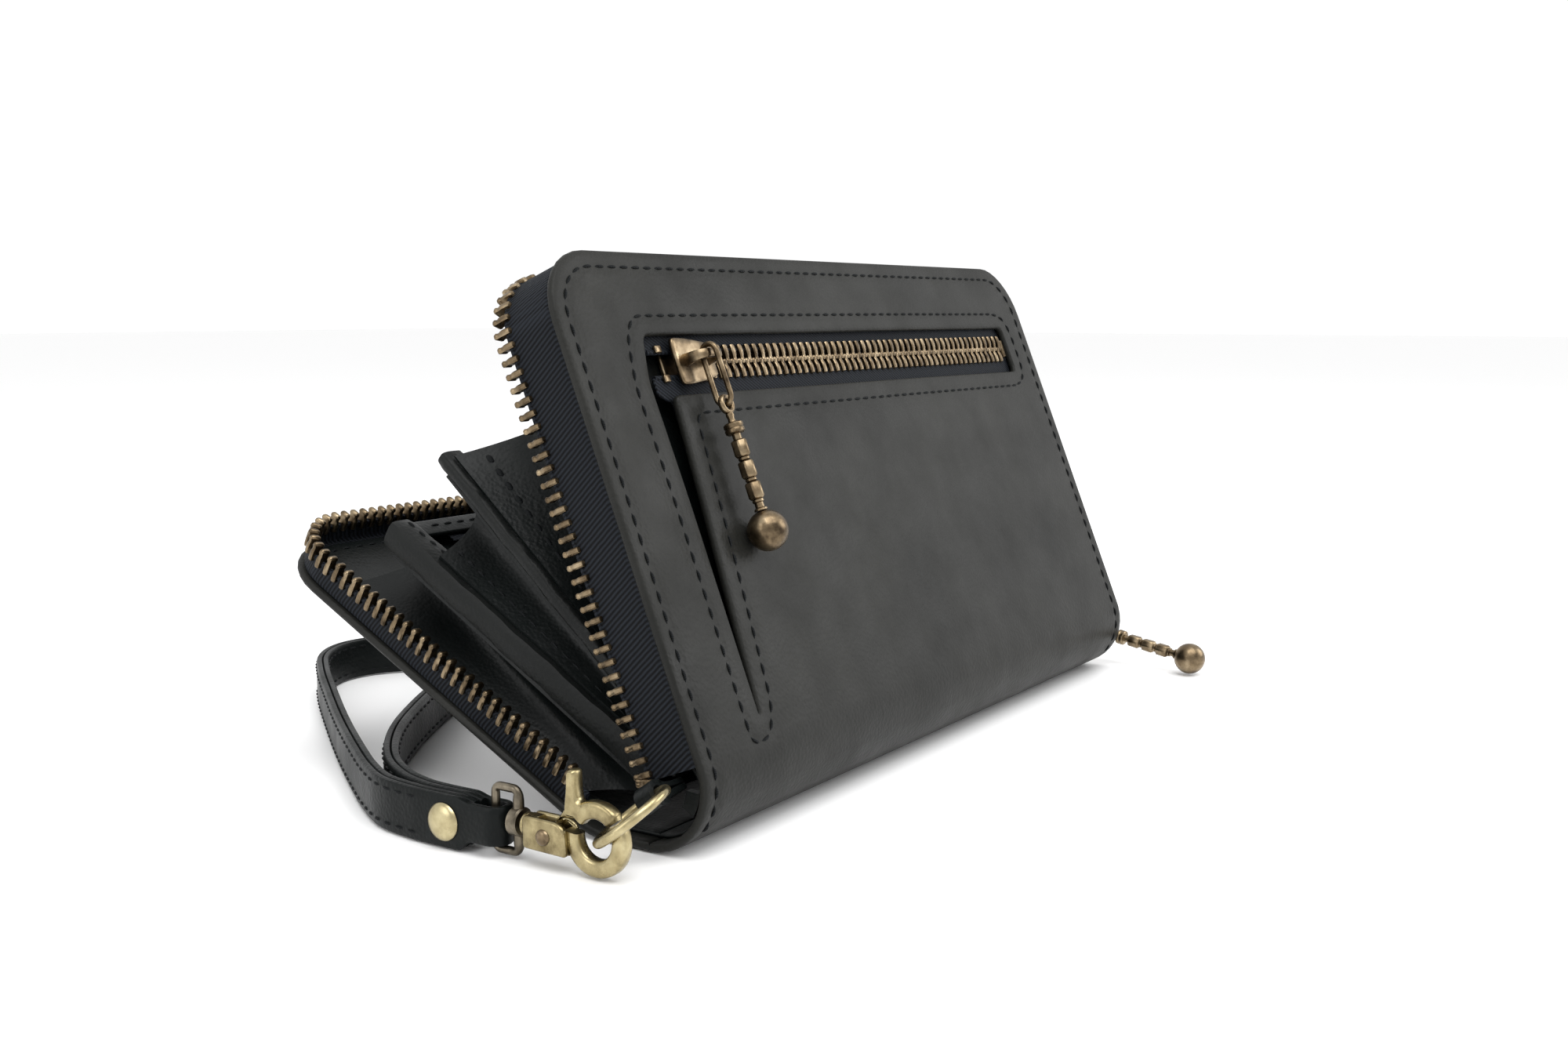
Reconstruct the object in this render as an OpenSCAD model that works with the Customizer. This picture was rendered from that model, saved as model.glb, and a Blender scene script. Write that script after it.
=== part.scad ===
// Wristlet wallet: two leather covers on a soft rounded spine, closed by a zip that runs round
// three sides, with a bellows interior, a zipped outside pocket and a clip-on wrist strap.
// X runs along the spine, Y from the front cover to the back, Z up from the table.

/* [Covers] */
// Length of each cover along the spine
cover_w = 183; // [140:1:230]
// Height of the front cover, measured along its face from the table line
cover_h = 110; // [90:1:140]
// Radius of the covers' top corners
corner_r = 13; // [6:1:20]
// Thickness of the outer leather
leather_t = 1.6; // [1:0.1:2.4]
// Thickness of the inner leather
lining_t = 0.8; // [0.5:0.1:1.4]
// Outer radius of the rounded spine
spine_r = 12; // [9:0.5:16]
// Width of the spine that lies flat on the table
spine_flat = 9.3; // [6:0.1:16]
// Radius of the bend between the spine and the back cover
heel_r = 16; // [8:1:24]

/* [Opening] */
// Lean of the front cover from upright
front_lean = 21.9; // [10:0.1:30]
// Lean of the back cover from upright
back_lean = 61.8; // [50:0.1:75]
// Lean of the front divider
divider_1_lean = 48.4; // [40:0.1:52]
// Lean of the coin pocket divider
divider_2_lean = 59.3; // [54:0.1:64]

/* [Dividers] */
// Height of the front divider above its pivot
divider_1_h = 71.6; // [50:0.1:80]
// Height of the coin pocket divider above its pivot
divider_2_h = 71.5; // [50:0.1:78]
// Length of each divider below its pivot
divider_tail = 5; // [3:0.5:6]
// Thickness of the front divider
divider_t = 1.6; // [1:0.1:2]
// Outside thickness of the coin pocket
coin_t = 4.2; // [3.6:0.1:5]
// Distance of the stitched ridges from the covers' ends
ridge_in = 3.9; // [3.6:0.1:8]
// Width of the stitched ridges
ridge_w = 5.2; // [4:0.1:8]
// Thickness of the stitched ridges
ridge_t = 3; // [2.6:0.1:4]
// Thickness of the bellows leather
gusset_t = 0.9; // [0.6:0.1:1.4]

/* [Zips] */
// Distance between neighbouring teeth of one row
zip_pitch = 2.5; // [2:0.1:3.5]
// Length of a tooth across the zip
tooth_l = 3; // [2.4:0.1:4]
// Width of a tooth along the zip
tooth_w = 1; // [0.7:0.05:1.1]
// Thickness of a tooth
tooth_t = 2.2; // [1.6:0.1:2.4]
// How far the two rows of teeth reach into each other
zip_mesh = 1.2; // [0.6:0.1:1.6]
// Thickness of the zip tapes
tape_t = 0.6; // [0.4:0.05:0.8]
// Width of the zip tape that stands up from the front cover
front_band = 12.2; // [9:0.1:14]
// Size of the coin pocket's zip as a share of the main zip's
coin_zip_scale = 0.6; // [0.5:0.05:0.7]

/* [Outside pocket] */
// Left end of the pocket window, from the cover's left end
window_x0 = 22; // [18:0.5:30]
// Distance from the window's right end to the cover's right end
window_margin = 13.5; // [10:0.5:25]
// Height of the pocket zip's centre line up the cover
pocket_zip_h = 88.4; // [70:0.1:100]
// Height of the window above the zip's centre line
window_up = 5.2; // [4.6:0.1:7]
// Height of the window below the zip's centre line
window_down = 6.4; // [4.6:0.1:9]
// Height of the side slit's closed end up the cover
slit_foot = 22; // [10:1:50]
// Width of the side slit where it meets the window
slit_w = 5.5; // [3:0.1:8]

/* [Pulls] */
// Length of the wire loop between its two ends' centres
loop_l = 8.5; // [6:0.1:12]
// Diameter of the loop's wire
loop_wire = 1.1; // [0.8:0.05:1.2]
// Distance from the pendant's eye to the centre of its ball
pendant_l = 24.5; // [18:0.5:32]
// Diameter of the pendant's ball
ball_d = 7.7; // [6:0.1:8]

/* [Ring and hook] */
// Mean radius of the strap ring
ring_r = 6.9; // [6.5:0.1:9]
// Diameter of the strap ring's wire
ring_wire = 1.7; // [1.2:0.1:2]
// Radius of the hook's eye
hook_hole_r = 3.4; // [3:0.1:4]
// Width of the metal around the hook's eye
hook_rim = 3; // [2.2:0.1:3.4]
// Thickness of the hook
hook_t = 2.6; // [2:0.1:3]
// Distance from the hook's eye to the gate's pivot
hook_pivot_l = 10; // [9.4:0.1:13]

/* [Wrist strap] */
// Width of the strap
strap_w = 9.4; // [8:0.1:12]
// Thickness of one ply of the strap
ply_t = 1.4; // [1:0.05:1.5]
// Diameter of the strap's rivet cap
cap_d = 6.8; // [5:0.1:9]

/* [Hidden] */
$fn = 32;

EPS = 0.01;
CLEAR = 0.3;
tape_in = 0.8;          // inset of the standing zip tapes from the covers' ends
flange_w = 8;           // width of zip tape sewn flat inside a cover
tape_foot = 10.4;       // where the front zip's tape ends on the spine
lining_in = 3;          // inset of the linings from the covers' ends
shell_t = leather_t + lining_t;

// the spine's flat lies between spine_y0 and spine_y1, and the covers' faces meet the table
// line at front_foot and back_foot
spine_y0 = -spine_flat / 2;
spine_y1 = spine_flat / 2;
front_flat = spine_r * tan((90 + front_lean) / 2);
front_foot = spine_y0 - front_flat;
heel_flat = heel_r * tan((90 - back_lean) / 2);
back_foot = spine_y1 + heel_flat;

// the covers turn about this line, just inside the spine's outer face
hinge_y = spine_y0;
hinge_z = 0.6;
fold_gap = 3;
front_d = (hinge_y - front_foot) * cos(front_lean) - hinge_z * sin(front_lean);
front_s = (hinge_y - front_foot) * sin(front_lean) + hinge_z * cos(front_lean);
back_d = (back_foot - hinge_y) * cos(back_lean) + hinge_z * sin(back_lean);
back_s = (hinge_y - back_foot) * sin(back_lean) + hinge_z * cos(back_lean);
closed_t = front_d + back_d;
back_h = cover_h - front_s + back_s;
// the back tape stands just far enough for the two rows to mesh when closed
back_band = closed_t - front_band - 2 * tooth_l + zip_mesh;

// the linings lie inside the sewn tape, the front one behind the pocket's space
tape_face = leather_t + tape_t;
pocket_back = 4.4;
front_inner = pocket_back + lining_t;
card_t = 0.7;
back_inner = tape_face + lining_t;

// pivots of the dividers, as distances behind the front face and up it
divider_1_n = front_inner + card_t + divider_t / 2 + 0.9;
divider_1_w = 21.5;
divider_2_n = 15.2;
divider_2_w = 20.2;

chain_half = tooth_l - zip_mesh / 2;
window_x1 = cover_w - window_margin;
pocket_slide_x = 35;
main_slide_h = 18;
beam_up = 6;            // height of the sliders' bridge above the chain's middle
beam_r = 0.95;
loop_r = 1.65;
slider_l = 11.5;

// grip of the ring in its tab, the ring's tilt there, and the place of the hook's eye
grip = [-4.5, -8.9, 11.5];
grip_tilt = 54;
grip_turn = 14.2;
tab_w = 3.8;
hook_x = -14.5;
hook_y = -5.6;
hook_z = hook_hole_r + hook_rim + 0.1;
hook_end = hook_pivot_l + 4.6;
gate_pin_r = 0.75;
bow_y = hook_end + 1.4;
bow_in = 4.9;
bow_wire = 1.5;
bar_y = hook_y + bow_y + 6.2;
strap_z0 = 1.9;
strap_end_w = 6.9;

// centre line of the strap in plan, from the hook round the loop and back
strap_gap = 3.2;
strap_full_y = bar_y + 3.6;
rivet_y = 26;
rivet_d = 2.2;
strap_out_x = hook_x - strap_gap / 2;
strap_in_x = hook_x + strap_gap / 2;
strap_route = [[strap_out_x, strap_full_y], [strap_out_x, rivet_y], [strap_out_x, rivet_y + 4],
    [strap_out_x + 0.3, 35], [-14.4, 43], [-10.4, 51], [-3.6, 61.5],
    [10, 81], [25.6, 102], [41, 122], [52, 134], [63, 139.5], [74, 137.5], [82, 129], [82, 117],
    [73, 105], [58, 96], [43, 88], [28, 79], [14, 69.5], [3, 60], [-5, 51],
    [-10.2, 42], [strap_in_x + 0.5, 35], [strap_in_x, rivet_y + 4], [strap_in_x, rivet_y],
    [strap_in_x, strap_full_y]];

charcoal = [0.15, 0.16, 0.16];
black = [0.08, 0.09, 0.1];
navy = [0.1, 0.12, 0.18];
brass = [0.5, 0.42, 0.27];
bright_brass = [0.66, 0.58, 0.38];
gunmetal = [0.33, 0.3, 0.26];

// ---- frames ----

// x from the covers' left end, y into the wallet, z up the front cover
module in_front() {
    translate([-cover_w / 2, front_foot, 0]) rotate([-front_lean, 0, 0]) children();
}

// x from the covers' left end, y into the wallet, z up the back cover
module in_back() {
    translate([-cover_w / 2, back_foot, 0]) rotate([-back_lean, 0, 0]) mirror([0, 1, 0])
        children();
}

function front_point(n, w) = [front_foot + n * cos(front_lean) + w * sin(front_lean),
    w * cos(front_lean) - n * sin(front_lean)];
function back_point(n, w) = [back_foot - n * cos(back_lean) + w * sin(back_lean),
    w * cos(back_lean) + n * sin(back_lean)];
pivot_1 = front_point(divider_1_n, divider_1_w);
pivot_2 = front_point(divider_2_n, divider_2_w);
function divider_point(pivot, lean, m, s) = [pivot[0] + m * cos(lean) + s * sin(lean),
    pivot[1] - m * sin(lean) + s * cos(lean)];

// x from the covers' left end, y behind the divider's middle, z up the divider
module in_divider(pivot, lean) {
    translate([-cover_w / 2, pivot[0], pivot[1]]) rotate([-lean, 0, 0]) children();
}

// a plate in the x-z plane that fills y0 to y1
module plate(y0, y1) {
    translate([0, y1, 0]) rotate([90, 0, 0]) linear_extrude(y1 - y0) children();
}

// ---- outlines ----

// cover outline with round top corners, cut in by inset on the three free sides
module cover_shape(foot, height, inset) {
    r = max(corner_r - inset, 1);
    translate([inset, foot]) square([cover_w - 2 * inset, height - inset - r - foot]);
    translate([inset + r, foot]) square([cover_w - 2 * inset - 2 * r, height - inset - foot]);
    for (x = [inset + r, cover_w - inset - r])
        translate([x, height - inset - r]) circle(r, $fn = 64);
}

module cover_rim(foot, height, inset, width) {
    difference() {
        cover_shape(foot, height, inset);
        translate([0, -EPS]) cover_shape(foot - EPS, height + EPS, inset + width);
    }
}

module rounded_rect(x0, y0, x1, y1, r) {
    translate([x0 + r, y0]) square([x1 - x0 - 2 * r, y1 - y0]);
    translate([x0, y0 + r]) square([x1 - x0, y1 - y0 - 2 * r]);
    for (x = [x0 + r, x1 - r], y = [y0 + r, y1 - r]) translate([x, y]) circle(r);
}

// ---- zips ----

// a tooth at the origin that reaches up z from the tape's edge, thin along x
module tooth() {
    translate([-tooth_w / 2, -tooth_t / 2, 0]) cube([tooth_w, tooth_t, tooth_l]);
}

// teeth along a straight x, between two stations counted in pitches
module straight_teeth(i0, i1) {
    for (i = [i0 : i1]) translate([i * zip_pitch, 0, 0]) tooth();
}

// point and direction along the rim of a cover, by distance s from the top's middle
rim_r = corner_r - tape_in - tape_t / 2;
rim_top = cover_w / 2 - corner_r;
rim_arc = rim_r * PI / 2;
function rim_point(s, height) = let (a = abs(s), top = height - tape_in - tape_t / 2,
        turn = min(max(a - rim_top, 0) / rim_arc, 1) * 90, down = max(a - rim_top - rim_arc, 0),
        x = min(a, rim_top) + rim_r * sin(turn), z = top - rim_r * (1 - cos(turn)) - down)
    [cover_w / 2 + sign(s) * x, z, sign(s) * turn];

// teeth all round a cover's rim, standing away from the cover on its tape's edge
module rim_teeth(height, foot, band, shift) {
    side = rim_top + rim_arc + height - tape_in - tape_t / 2 - rim_r - foot;
    count = floor(side / zip_pitch - 0.5);
    for (i = [-count : count]) let (p = rim_point((i + shift) * zip_pitch, height))
        translate([p[0], band, p[1]]) rotate([0, p[2], 0]) rotate([-90, 0, 0]) tooth();
}

// standing tape of a cover with its flange sewn flat behind the leather
module rim_tape(height, foot, band) {
    plate(leather_t, tape_face) cover_rim(foot, height, tape_in, flange_w);
    plate(tape_face, band) cover_rim(foot, height, tape_in, tape_t);
}

// slider with its chain along x and its pull side towards z; the far side's flanges are left
// off where the other row of teeth comes in from the side
module slider_body(both = true) {
    half = chain_half + 1.7;
    tail = 0.5;
    lip = 0.8;
    inner = chain_half + 0.4;
    top = tooth_t / 2 + 0.2;
    gap = tape_t / 2 + 0.15;
    far = chain_half + 0.2;
    near_side = [[-slider_l / 2, -half - tail], [-slider_l / 2 + 3.4, -half - tail],
        [0.5, -half], [slider_l / 2, -half + tail]];
    far_side = both ? [[slider_l / 2, half - tail], [0.5, half],
        [-slider_l / 2 + 3.4, half + tail], [-slider_l / 2, half + tail]]
        : [[slider_l / 2, far], [-slider_l / 2, far]];
    for (z = [top, -top - 1]) translate([0, 0, z]) linear_extrude(1)
        polygon(concat(near_side, far_side));
    for (z = [gap, -top - EPS], y = both ? [inner, -inner - lip] : [-inner - lip])
        translate([-1, y, z]) cube([slider_l / 2 + 1, lip, top - gap + EPS]);
    // bridge for the pull, along the chain
    for (x = [-3.9, 2.5]) translate([x, -1.2, top + 0.9])
        cube([1.4, 2.4, beam_up - top - 0.9]);
    translate([-3.9, 0, beam_up]) rotate([0, 90, 0]) cylinder(r = beam_r, h = 7.8);
}

// closed wire loop: one end round the origin, the other at loop_l down -y, thin along x
module wire_loop() {
    for (z = [-loop_r, loop_r]) translate([0, 0, z]) rotate([90, 0, 0])
        cylinder(d = loop_wire, h = loop_l);
    for (side = [0, 1]) translate([0, -side * loop_l, 0]) rotate([0, 0, side * 180])
        rotate([0, 90, 0]) rotate_extrude(angle = 180, $fn = 48)
            translate([loop_r, 0]) circle(d = loop_wire, $fn = 20);
}

// pendant hung from the origin down -y, with its eye's hole along z
module pendant_body() {
    difference() {
        translate([0, 0, -0.7]) cylinder(r = 2, h = 1.4);
        translate([0, 0, -1]) cylinder(r = 0.95, h = 2);
    }
    rotate([90, 0, 0]) {
        translate([0, 0, 1.7]) cylinder(r = 0.8, h = 2.4);
        translate([0, 0, 3.6]) cylinder(r = 1.9, h = 2.2);
        translate([0, 0, 5.8]) cylinder(r = 0.85, h = pendant_l - 5.8);
        for (i = [0 : 2]) translate([0, 0, 7 + i * 4.1]) cylinder(r = 1.5, h = 3.3, $fn = 6);
        translate([0, 0, pendant_l]) sphere(d = ball_d, $fn = 48);
    }
}

// ---- front cover ----

module front_panel() {
    color(charcoal) in_front() plate(0, leather_t) difference() {
        cover_shape(front_flat, cover_h, 0);
        translate([window_x0, pocket_zip_h - window_down])
            square([window_x1 - window_x0, window_down + window_up]);
        polygon([[window_x0 - 2, slit_foot],
            [window_x0 - 2.4, pocket_zip_h - window_down + 3],
            [window_x0 + EPS, pocket_zip_h + window_up],
            [window_x0 - 2 + slit_w, pocket_zip_h - window_down + EPS]]);
    }
}

module spine_arc(inner, outer, inset) {
    translate([-cover_w / 2 + inset, spine_y0, spine_r]) rotate([90, 0, 90])
        rotate([0, 0, 180 - front_lean])
            linear_extrude(cover_w - 2 * inset) arc_shape(inner, outer, 90 + front_lean);
}

// ring sector from angle 0 to sweep
module arc_shape(inner, outer, sweep) {
    difference() {
        circle(outer, $fn = 96);
        circle(inner, $fn = 96);
        rotate(sweep) translate([-2 * outer, 0]) square([4 * outer, 2 * outer]);
        translate([-2 * outer, -2 * outer]) square([4 * outer, 2 * outer]);
    }
}

module spine_leather() {
    color(charcoal) spine_arc(spine_r - leather_t, spine_r, 0);
}

module spine_lining() {
    color(black) spine_arc(spine_r - shell_t, spine_r - leather_t, 2);
}

module front_zip_tape() {
    color(navy) in_front() {
        rim_tape(cover_h, front_flat + 0.2, front_band);
        for (x = [tape_in, cover_w - tape_in - tape_t])
            translate([x, front_band - 1.3, tape_foot])
                cube([tape_t, 1.3, front_flat + 0.3 - tape_foot]);
    }
}

module front_zip_teeth() {
    color(brass) in_front() rim_teeth(cover_h, tape_foot + 0.6, front_band, 0);
}

module pocket_tape(side) {
    low = side > 0 ? pocket_zip_h + chain_half : pocket_zip_h - chain_half - pocket_tape_w;
    plate(leather_t, tape_face) translate([window_x0 + 1, low])
        square([window_x1 - window_x0 + 2, pocket_tape_w]);
}

module pocket_tape_upper() {
    color(navy) in_front() pocket_tape(1);
}

module pocket_tape_lower() {
    color(navy) in_front() pocket_tape(-1);
}

pocket_tape_w = min(10, cover_h - tape_in - flange_w - pocket_zip_h - chain_half - 0.2);
pocket_teeth = floor((window_x1 - pocket_slide_x - slider_l / 2 - 3) / zip_pitch);

module pocket_teeth_upper() {
    color(brass) in_front() translate([window_x1 - 2, leather_t + tape_t / 2,
        pocket_zip_h + chain_half]) rotate([0, 180, 0]) straight_teeth(0, pocket_teeth);
}

module pocket_teeth_lower() {
    color(brass) in_front() translate([window_x1 - 2 - zip_pitch / 2, leather_t + tape_t / 2,
        pocket_zip_h - chain_half]) mirror([1, 0, 0]) straight_teeth(0, pocket_teeth);
}

module pocket_zip_stops() {
    mid = leather_t + tape_t / 2;
    color(brass) in_front() {
        translate([window_x1 - 1.4, mid - tooth_t / 2, pocket_zip_h - chain_half])
            cube([1.3, tooth_t, 2 * chain_half]);
        for (z = [pocket_zip_h - chain_half - 1.2, pocket_zip_h + chain_half - 0.3])
            translate([window_x0 + 3.4, mid - tooth_t / 2, z]) cube([1.8, tooth_t / 2 - 0.3, 1.5]);
    }
}

// inner leather of the front cover, with turned edges that rest on the sewn tape
module front_lining() {
    color(black) in_front() {
        plate(pocket_back, pocket_back + lining_t) cover_shape(front_flat + 1, cover_h, lining_in);
        plate(tape_face, pocket_back) cover_rim(front_flat + 1, cover_h, lining_in, 2);
    }
}

module card_panel(y0, low, high) {
    plate(y0, y0 + card_t) rounded_rect(14, low, cover_w - 14, high, 2);
}

module card_panel_lower() {
    color(black) in_front() card_panel(front_inner, 26, 58);
}

module card_panel_upper() {
    color(black) in_front() card_panel(front_inner, 58.6, 78);
}

// leather tab folded round the strap ring, sewn between the zip's end and the spine
module ring_tab() {
    bore = ring_wire / 2 + 0.35;
    wrap = bore + 1.2;
    color(black) translate([-cover_w / 2, 0, 0]) translate(grip) rotate([grip_tilt, 0, 0])
        difference() {
            union() {
                translate([0, 0, -tab_w / 2]) cylinder(r = wrap, h = tab_w);
                translate([0, -wrap, -tab_w / 2]) cube([-grip[0] - 0.4, 2 * wrap, tab_w]);
                translate([-grip[0] - 0.5, -1.1, -2.6]) cube([3.4, 2.2, 5.2]);
            }
            translate([0, 0, -4]) cylinder(r = bore, h = 8);
        }
    // web that joins the tab to the inside of the spine
    color(black) translate([-cover_w / 2 + 1.6, spine_y0, spine_r]) rotate([90, 0, 90])
        linear_extrude(1.4) intersection() {
            circle(spine_r - shell_t, $fn = 96);
            translate([-spine_r, grip[2] - spine_r - 2.4])
                square([spine_r + grip[1] - spine_y0 + 2, 4.8]);
        }
}

// ---- sliders and pulls ----

module at_pocket_slider() {
    in_front() translate([pocket_slide_x, leather_t + tape_t / 2, pocket_zip_h])
        rotate([90, 0, 0]) children();
}

module pocket_slider() {
    color(brass) at_pocket_slider() slider_body();
}

module pocket_pull_wire() {
    color(brass) at_pocket_slider() translate([-0.7, 0, beam_up]) wire_loop();
}

module pocket_pendant() {
    color(brass) at_pocket_slider() translate([-0.7, -loop_l - loop_r, beam_up])
        pendant_body();
}

// the main slider rides the right-hand end of the front cover's zip; x runs down the zip
main_mid = front_band + chain_half;
module at_main_slider() {
    in_front() translate([cover_w - tape_in - tape_t / 2, main_mid, main_slide_h])
        rotate([0, 90, 0]) children();
}

module main_slider() {
    color(brass) at_main_slider() slider_body(false);
}

// the main pull's loop droops this far from square to the zip
pull_droop = 46;
loop_slip = 0.7;
main_turn = 9;
module at_main_pull() {
    at_main_slider() translate([0, 0, beam_up]) rotate([0, 0, pull_droop]) children();
}

module main_pull_wire() {
    color(brass) at_main_pull() translate([0, loop_slip, 0]) wire_loop();
}

main_beam = front_point(main_mid, main_slide_h);
main_eye_l = loop_l + loop_r - loop_slip;
main_eye = [main_beam[0] - main_eye_l * cos(pull_droop - front_lean),
    main_beam[1] - main_eye_l * sin(pull_droop - front_lean)];
main_eye_x = cover_w / 2 - tape_in - tape_t / 2 + beam_up;
main_dip = asin((main_eye[1] - ball_d / 2 - 0.05) / pendant_l);

module main_pendant() {
    color(brass) translate([main_eye_x, main_eye[0], main_eye[1]]) rotate([0, 0, -main_turn])
        rotate([main_dip, 0, 0]) rotate([0, 90, 0]) pendant_body();
}

// ---- dividers ----

panel_in = ridge_in + 2;
coin_ply = 1.1;

module divider_panel() {
    color(black) in_divider(pivot_1, divider_1_lean) plate(-divider_t / 2, divider_t / 2)
        rounded_rect(panel_in, -divider_tail, cover_w - panel_in, divider_1_h - 0.5, 3);
}

// folded leather that binds a divider's end, open towards the divider
module ridge(height, slot) {
    difference() {
        translate([ridge_in, -slot / 2 - 0.7, -1.5])
            cube([ridge_w, slot + 1.4, height + 1.5]);
        translate([panel_in, -slot / 2, -divider_tail])
            cube([ridge_w, slot, height + divider_tail + 1]);
    }
}

module mirror_end() {
    translate([cover_w, 0, 0]) mirror([1, 0, 0]) children();
}

module divider_ridge_left() {
    color(charcoal) in_divider(pivot_1, divider_1_lean) ridge(divider_1_h, ridge_t - 1.4);
}

module divider_ridge_right() {
    color(charcoal) in_divider(pivot_1, divider_1_lean) mirror_end()
        ridge(divider_1_h, ridge_t - 1.4);
}

coin_zip_z = divider_2_h - 8;
coin_gap = (chain_half + 2.2) * coin_zip_scale + CLEAR;
coin_tape_w = 2.8;
coin_front_y = -coin_t / 2;

module coin_back_panel() {
    color(black) in_divider(pivot_2, divider_2_lean) {
        plate(coin_t / 2 - coin_ply, coin_t / 2)
            rounded_rect(panel_in, -divider_tail, cover_w - panel_in, divider_2_h - 0.5, 3);
        plate(coin_front_y + coin_ply, coin_t / 2 - coin_ply)
            translate([panel_in + 1, -divider_tail + 1]) square([cover_w - 2 * panel_in - 2, 3]);
    }
}

module coin_front_panel() {
    color(black) in_divider(pivot_2, divider_2_lean)
        plate(coin_front_y, coin_front_y + coin_ply)
            rounded_rect(panel_in, -divider_tail, cover_w - panel_in, coin_zip_z - coin_gap, 1);
}

module coin_top_band() {
    color(black) in_divider(pivot_2, divider_2_lean) {
        plate(coin_front_y, coin_front_y + coin_ply)
            rounded_rect(panel_in, coin_zip_z + coin_gap, cover_w - panel_in,
                divider_2_h - 0.5, 1);
        plate(coin_front_y + coin_ply, coin_t / 2 - coin_ply)
            translate([panel_in + 1, divider_2_h - 3.6]) square([cover_w - 2 * panel_in - 2, 2]);
    }
}

module coin_ridge_left() {
    color(charcoal) in_divider(pivot_2, divider_2_lean) ridge(divider_2_h, coin_t);
}

module coin_ridge_right() {
    color(charcoal) in_divider(pivot_2, divider_2_lean) mirror_end() ridge(divider_2_h, coin_t);
}

// the coin zip's middle plane, behind the front ply
coin_tape_t = tape_t * coin_zip_scale;
coin_mid = coin_front_y + coin_ply + coin_tape_t / 2;
coin_x0 = 22;
coin_x1 = cover_w - 16;
coin_slide_x = coin_x0 + 6;
coin_teeth = floor((coin_x1 - coin_slide_x - 6) / (zip_pitch * coin_zip_scale));

module at_coin_zip(x) {
    in_divider(pivot_2, divider_2_lean) translate([x, coin_mid, coin_zip_z])
        scale(coin_zip_scale) children();
}

module coin_zip_tapes() {
    half = chain_half * coin_zip_scale;
    color(navy) in_divider(pivot_2, divider_2_lean)
        for (z = [coin_zip_z + half, coin_zip_z - half - coin_tape_w])
            plate(coin_mid - coin_tape_t / 2, coin_mid + coin_tape_t / 2)
                translate([coin_x0 - 6, z]) square([coin_x1 - coin_x0 + 10, coin_tape_w]);
}

module coin_teeth_upper() {
    color(brass) at_coin_zip(coin_x1) translate([0, 0, chain_half]) rotate([0, 180, 0])
        straight_teeth(0, coin_teeth);
}

module coin_teeth_lower() {
    color(brass) at_coin_zip(coin_x1) translate([-zip_pitch / 2, 0, -chain_half])
        mirror([1, 0, 0]) straight_teeth(0, coin_teeth);
}

module coin_slider() {
    color(brass) at_coin_zip(coin_slide_x) rotate([90, 0, 0]) slider_body();
}

module coin_pull() {
    color(brass) at_coin_zip(coin_slide_x) rotate([90, 0, 0]) translate([-0.7, 0, beam_up]) {
        wire_loop();
        translate([0, -loop_l - loop_r, 0]) rotate([0, 90, 0]) pull_leaf();
    }
}

// flat leather-shaped leaf at the end of the coin pull
module pull_leaf() {
    translate([-0.75, -14.5, -1.9]) cube([1.5, 14.2, 3.8]);
}

// ---- bellows ----

// thin leather sheet between two lines, each given by its low and high end
module sheet_between(a0, a1, b0, b1) {
    hull() for (p = [a0, a1, b0, b1]) translate(p) cube(gusset_t, center = true);
}

// one pleat: from line a to line b with a fold in the middle that lies deeper inside
module pleat(x, dir, a0, a1, b0, b1, low, high) {
    m0 = [x + dir * low, (a0[0] + b0[0]) / 2, (a0[1] + b0[1]) / 2];
    m1 = [x + dir * high, (a1[0] + b1[0]) / 2, (a1[1] + b1[1]) / 2];
    sheet_between([x, a0[0], a0[1]], [x, a1[0], a1[1]], m0, m1);
    sheet_between([x, b0[0], b0[1]], [x, b1[0], b1[1]], m0, m1);
}

pleat_t = gusset_t / 2 + CLEAR;
pleat_n = front_inner + pleat_t;
ridge_half_1 = ridge_t / 2 + pleat_t;
ridge_half_2 = coin_t / 2 + 0.7 + pleat_t;

module front_pleat(x, dir) {
    pleat(x, dir, front_point(pleat_n, divider_1_w + 6), front_point(pleat_n, 86),
        divider_point(pivot_1, divider_1_lean, -ridge_half_1, 9),
        divider_point(pivot_1, divider_1_lean, -ridge_half_1, divider_1_h - 2), 4, 12);
}

module middle_pleat(x, dir) {
    pleat(x, dir, divider_point(pivot_1, divider_1_lean, ridge_half_1, 4),
        divider_point(pivot_1, divider_1_lean, ridge_half_1, divider_1_h - 3),
        divider_point(pivot_2, divider_2_lean, -ridge_half_2, 10),
        divider_point(pivot_2, divider_2_lean, -ridge_half_2, divider_2_h - 13), 3, 9);
}

module back_pleat(x, dir) {
    pleat(x, dir, divider_point(pivot_2, divider_2_lean, ridge_half_2, 4),
        divider_point(pivot_2, divider_2_lean, ridge_half_2, divider_2_h - 3),
        back_point(back_inner + pleat_t, 12), back_point(back_inner + pleat_t, 74), 3, 12);
}

gusset_x = cover_w / 2 - ridge_in - 1.2;
module gusset_left_front() {
    color(black) front_pleat(-gusset_x, 1);
}

module gusset_left_middle() {
    color(black) middle_pleat(-gusset_x, 1);
}

module gusset_left_back() {
    color(black) back_pleat(-gusset_x, 1);
}

module gusset_right_front() {
    color(black) front_pleat(gusset_x, -1);
}

module gusset_right_middle() {
    color(black) middle_pleat(gusset_x, -1);
}

module gusset_right_back() {
    color(black) back_pleat(gusset_x, -1);
}

// ---- back cover ----

// the bend in the spine that gives way when the covers close
module spine_fold() {
    color(charcoal) translate([-cover_w / 2, spine_y0 + 0.05, 0])
        cube([cover_w, fold_gap - 0.1, leather_t]);
}

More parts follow.
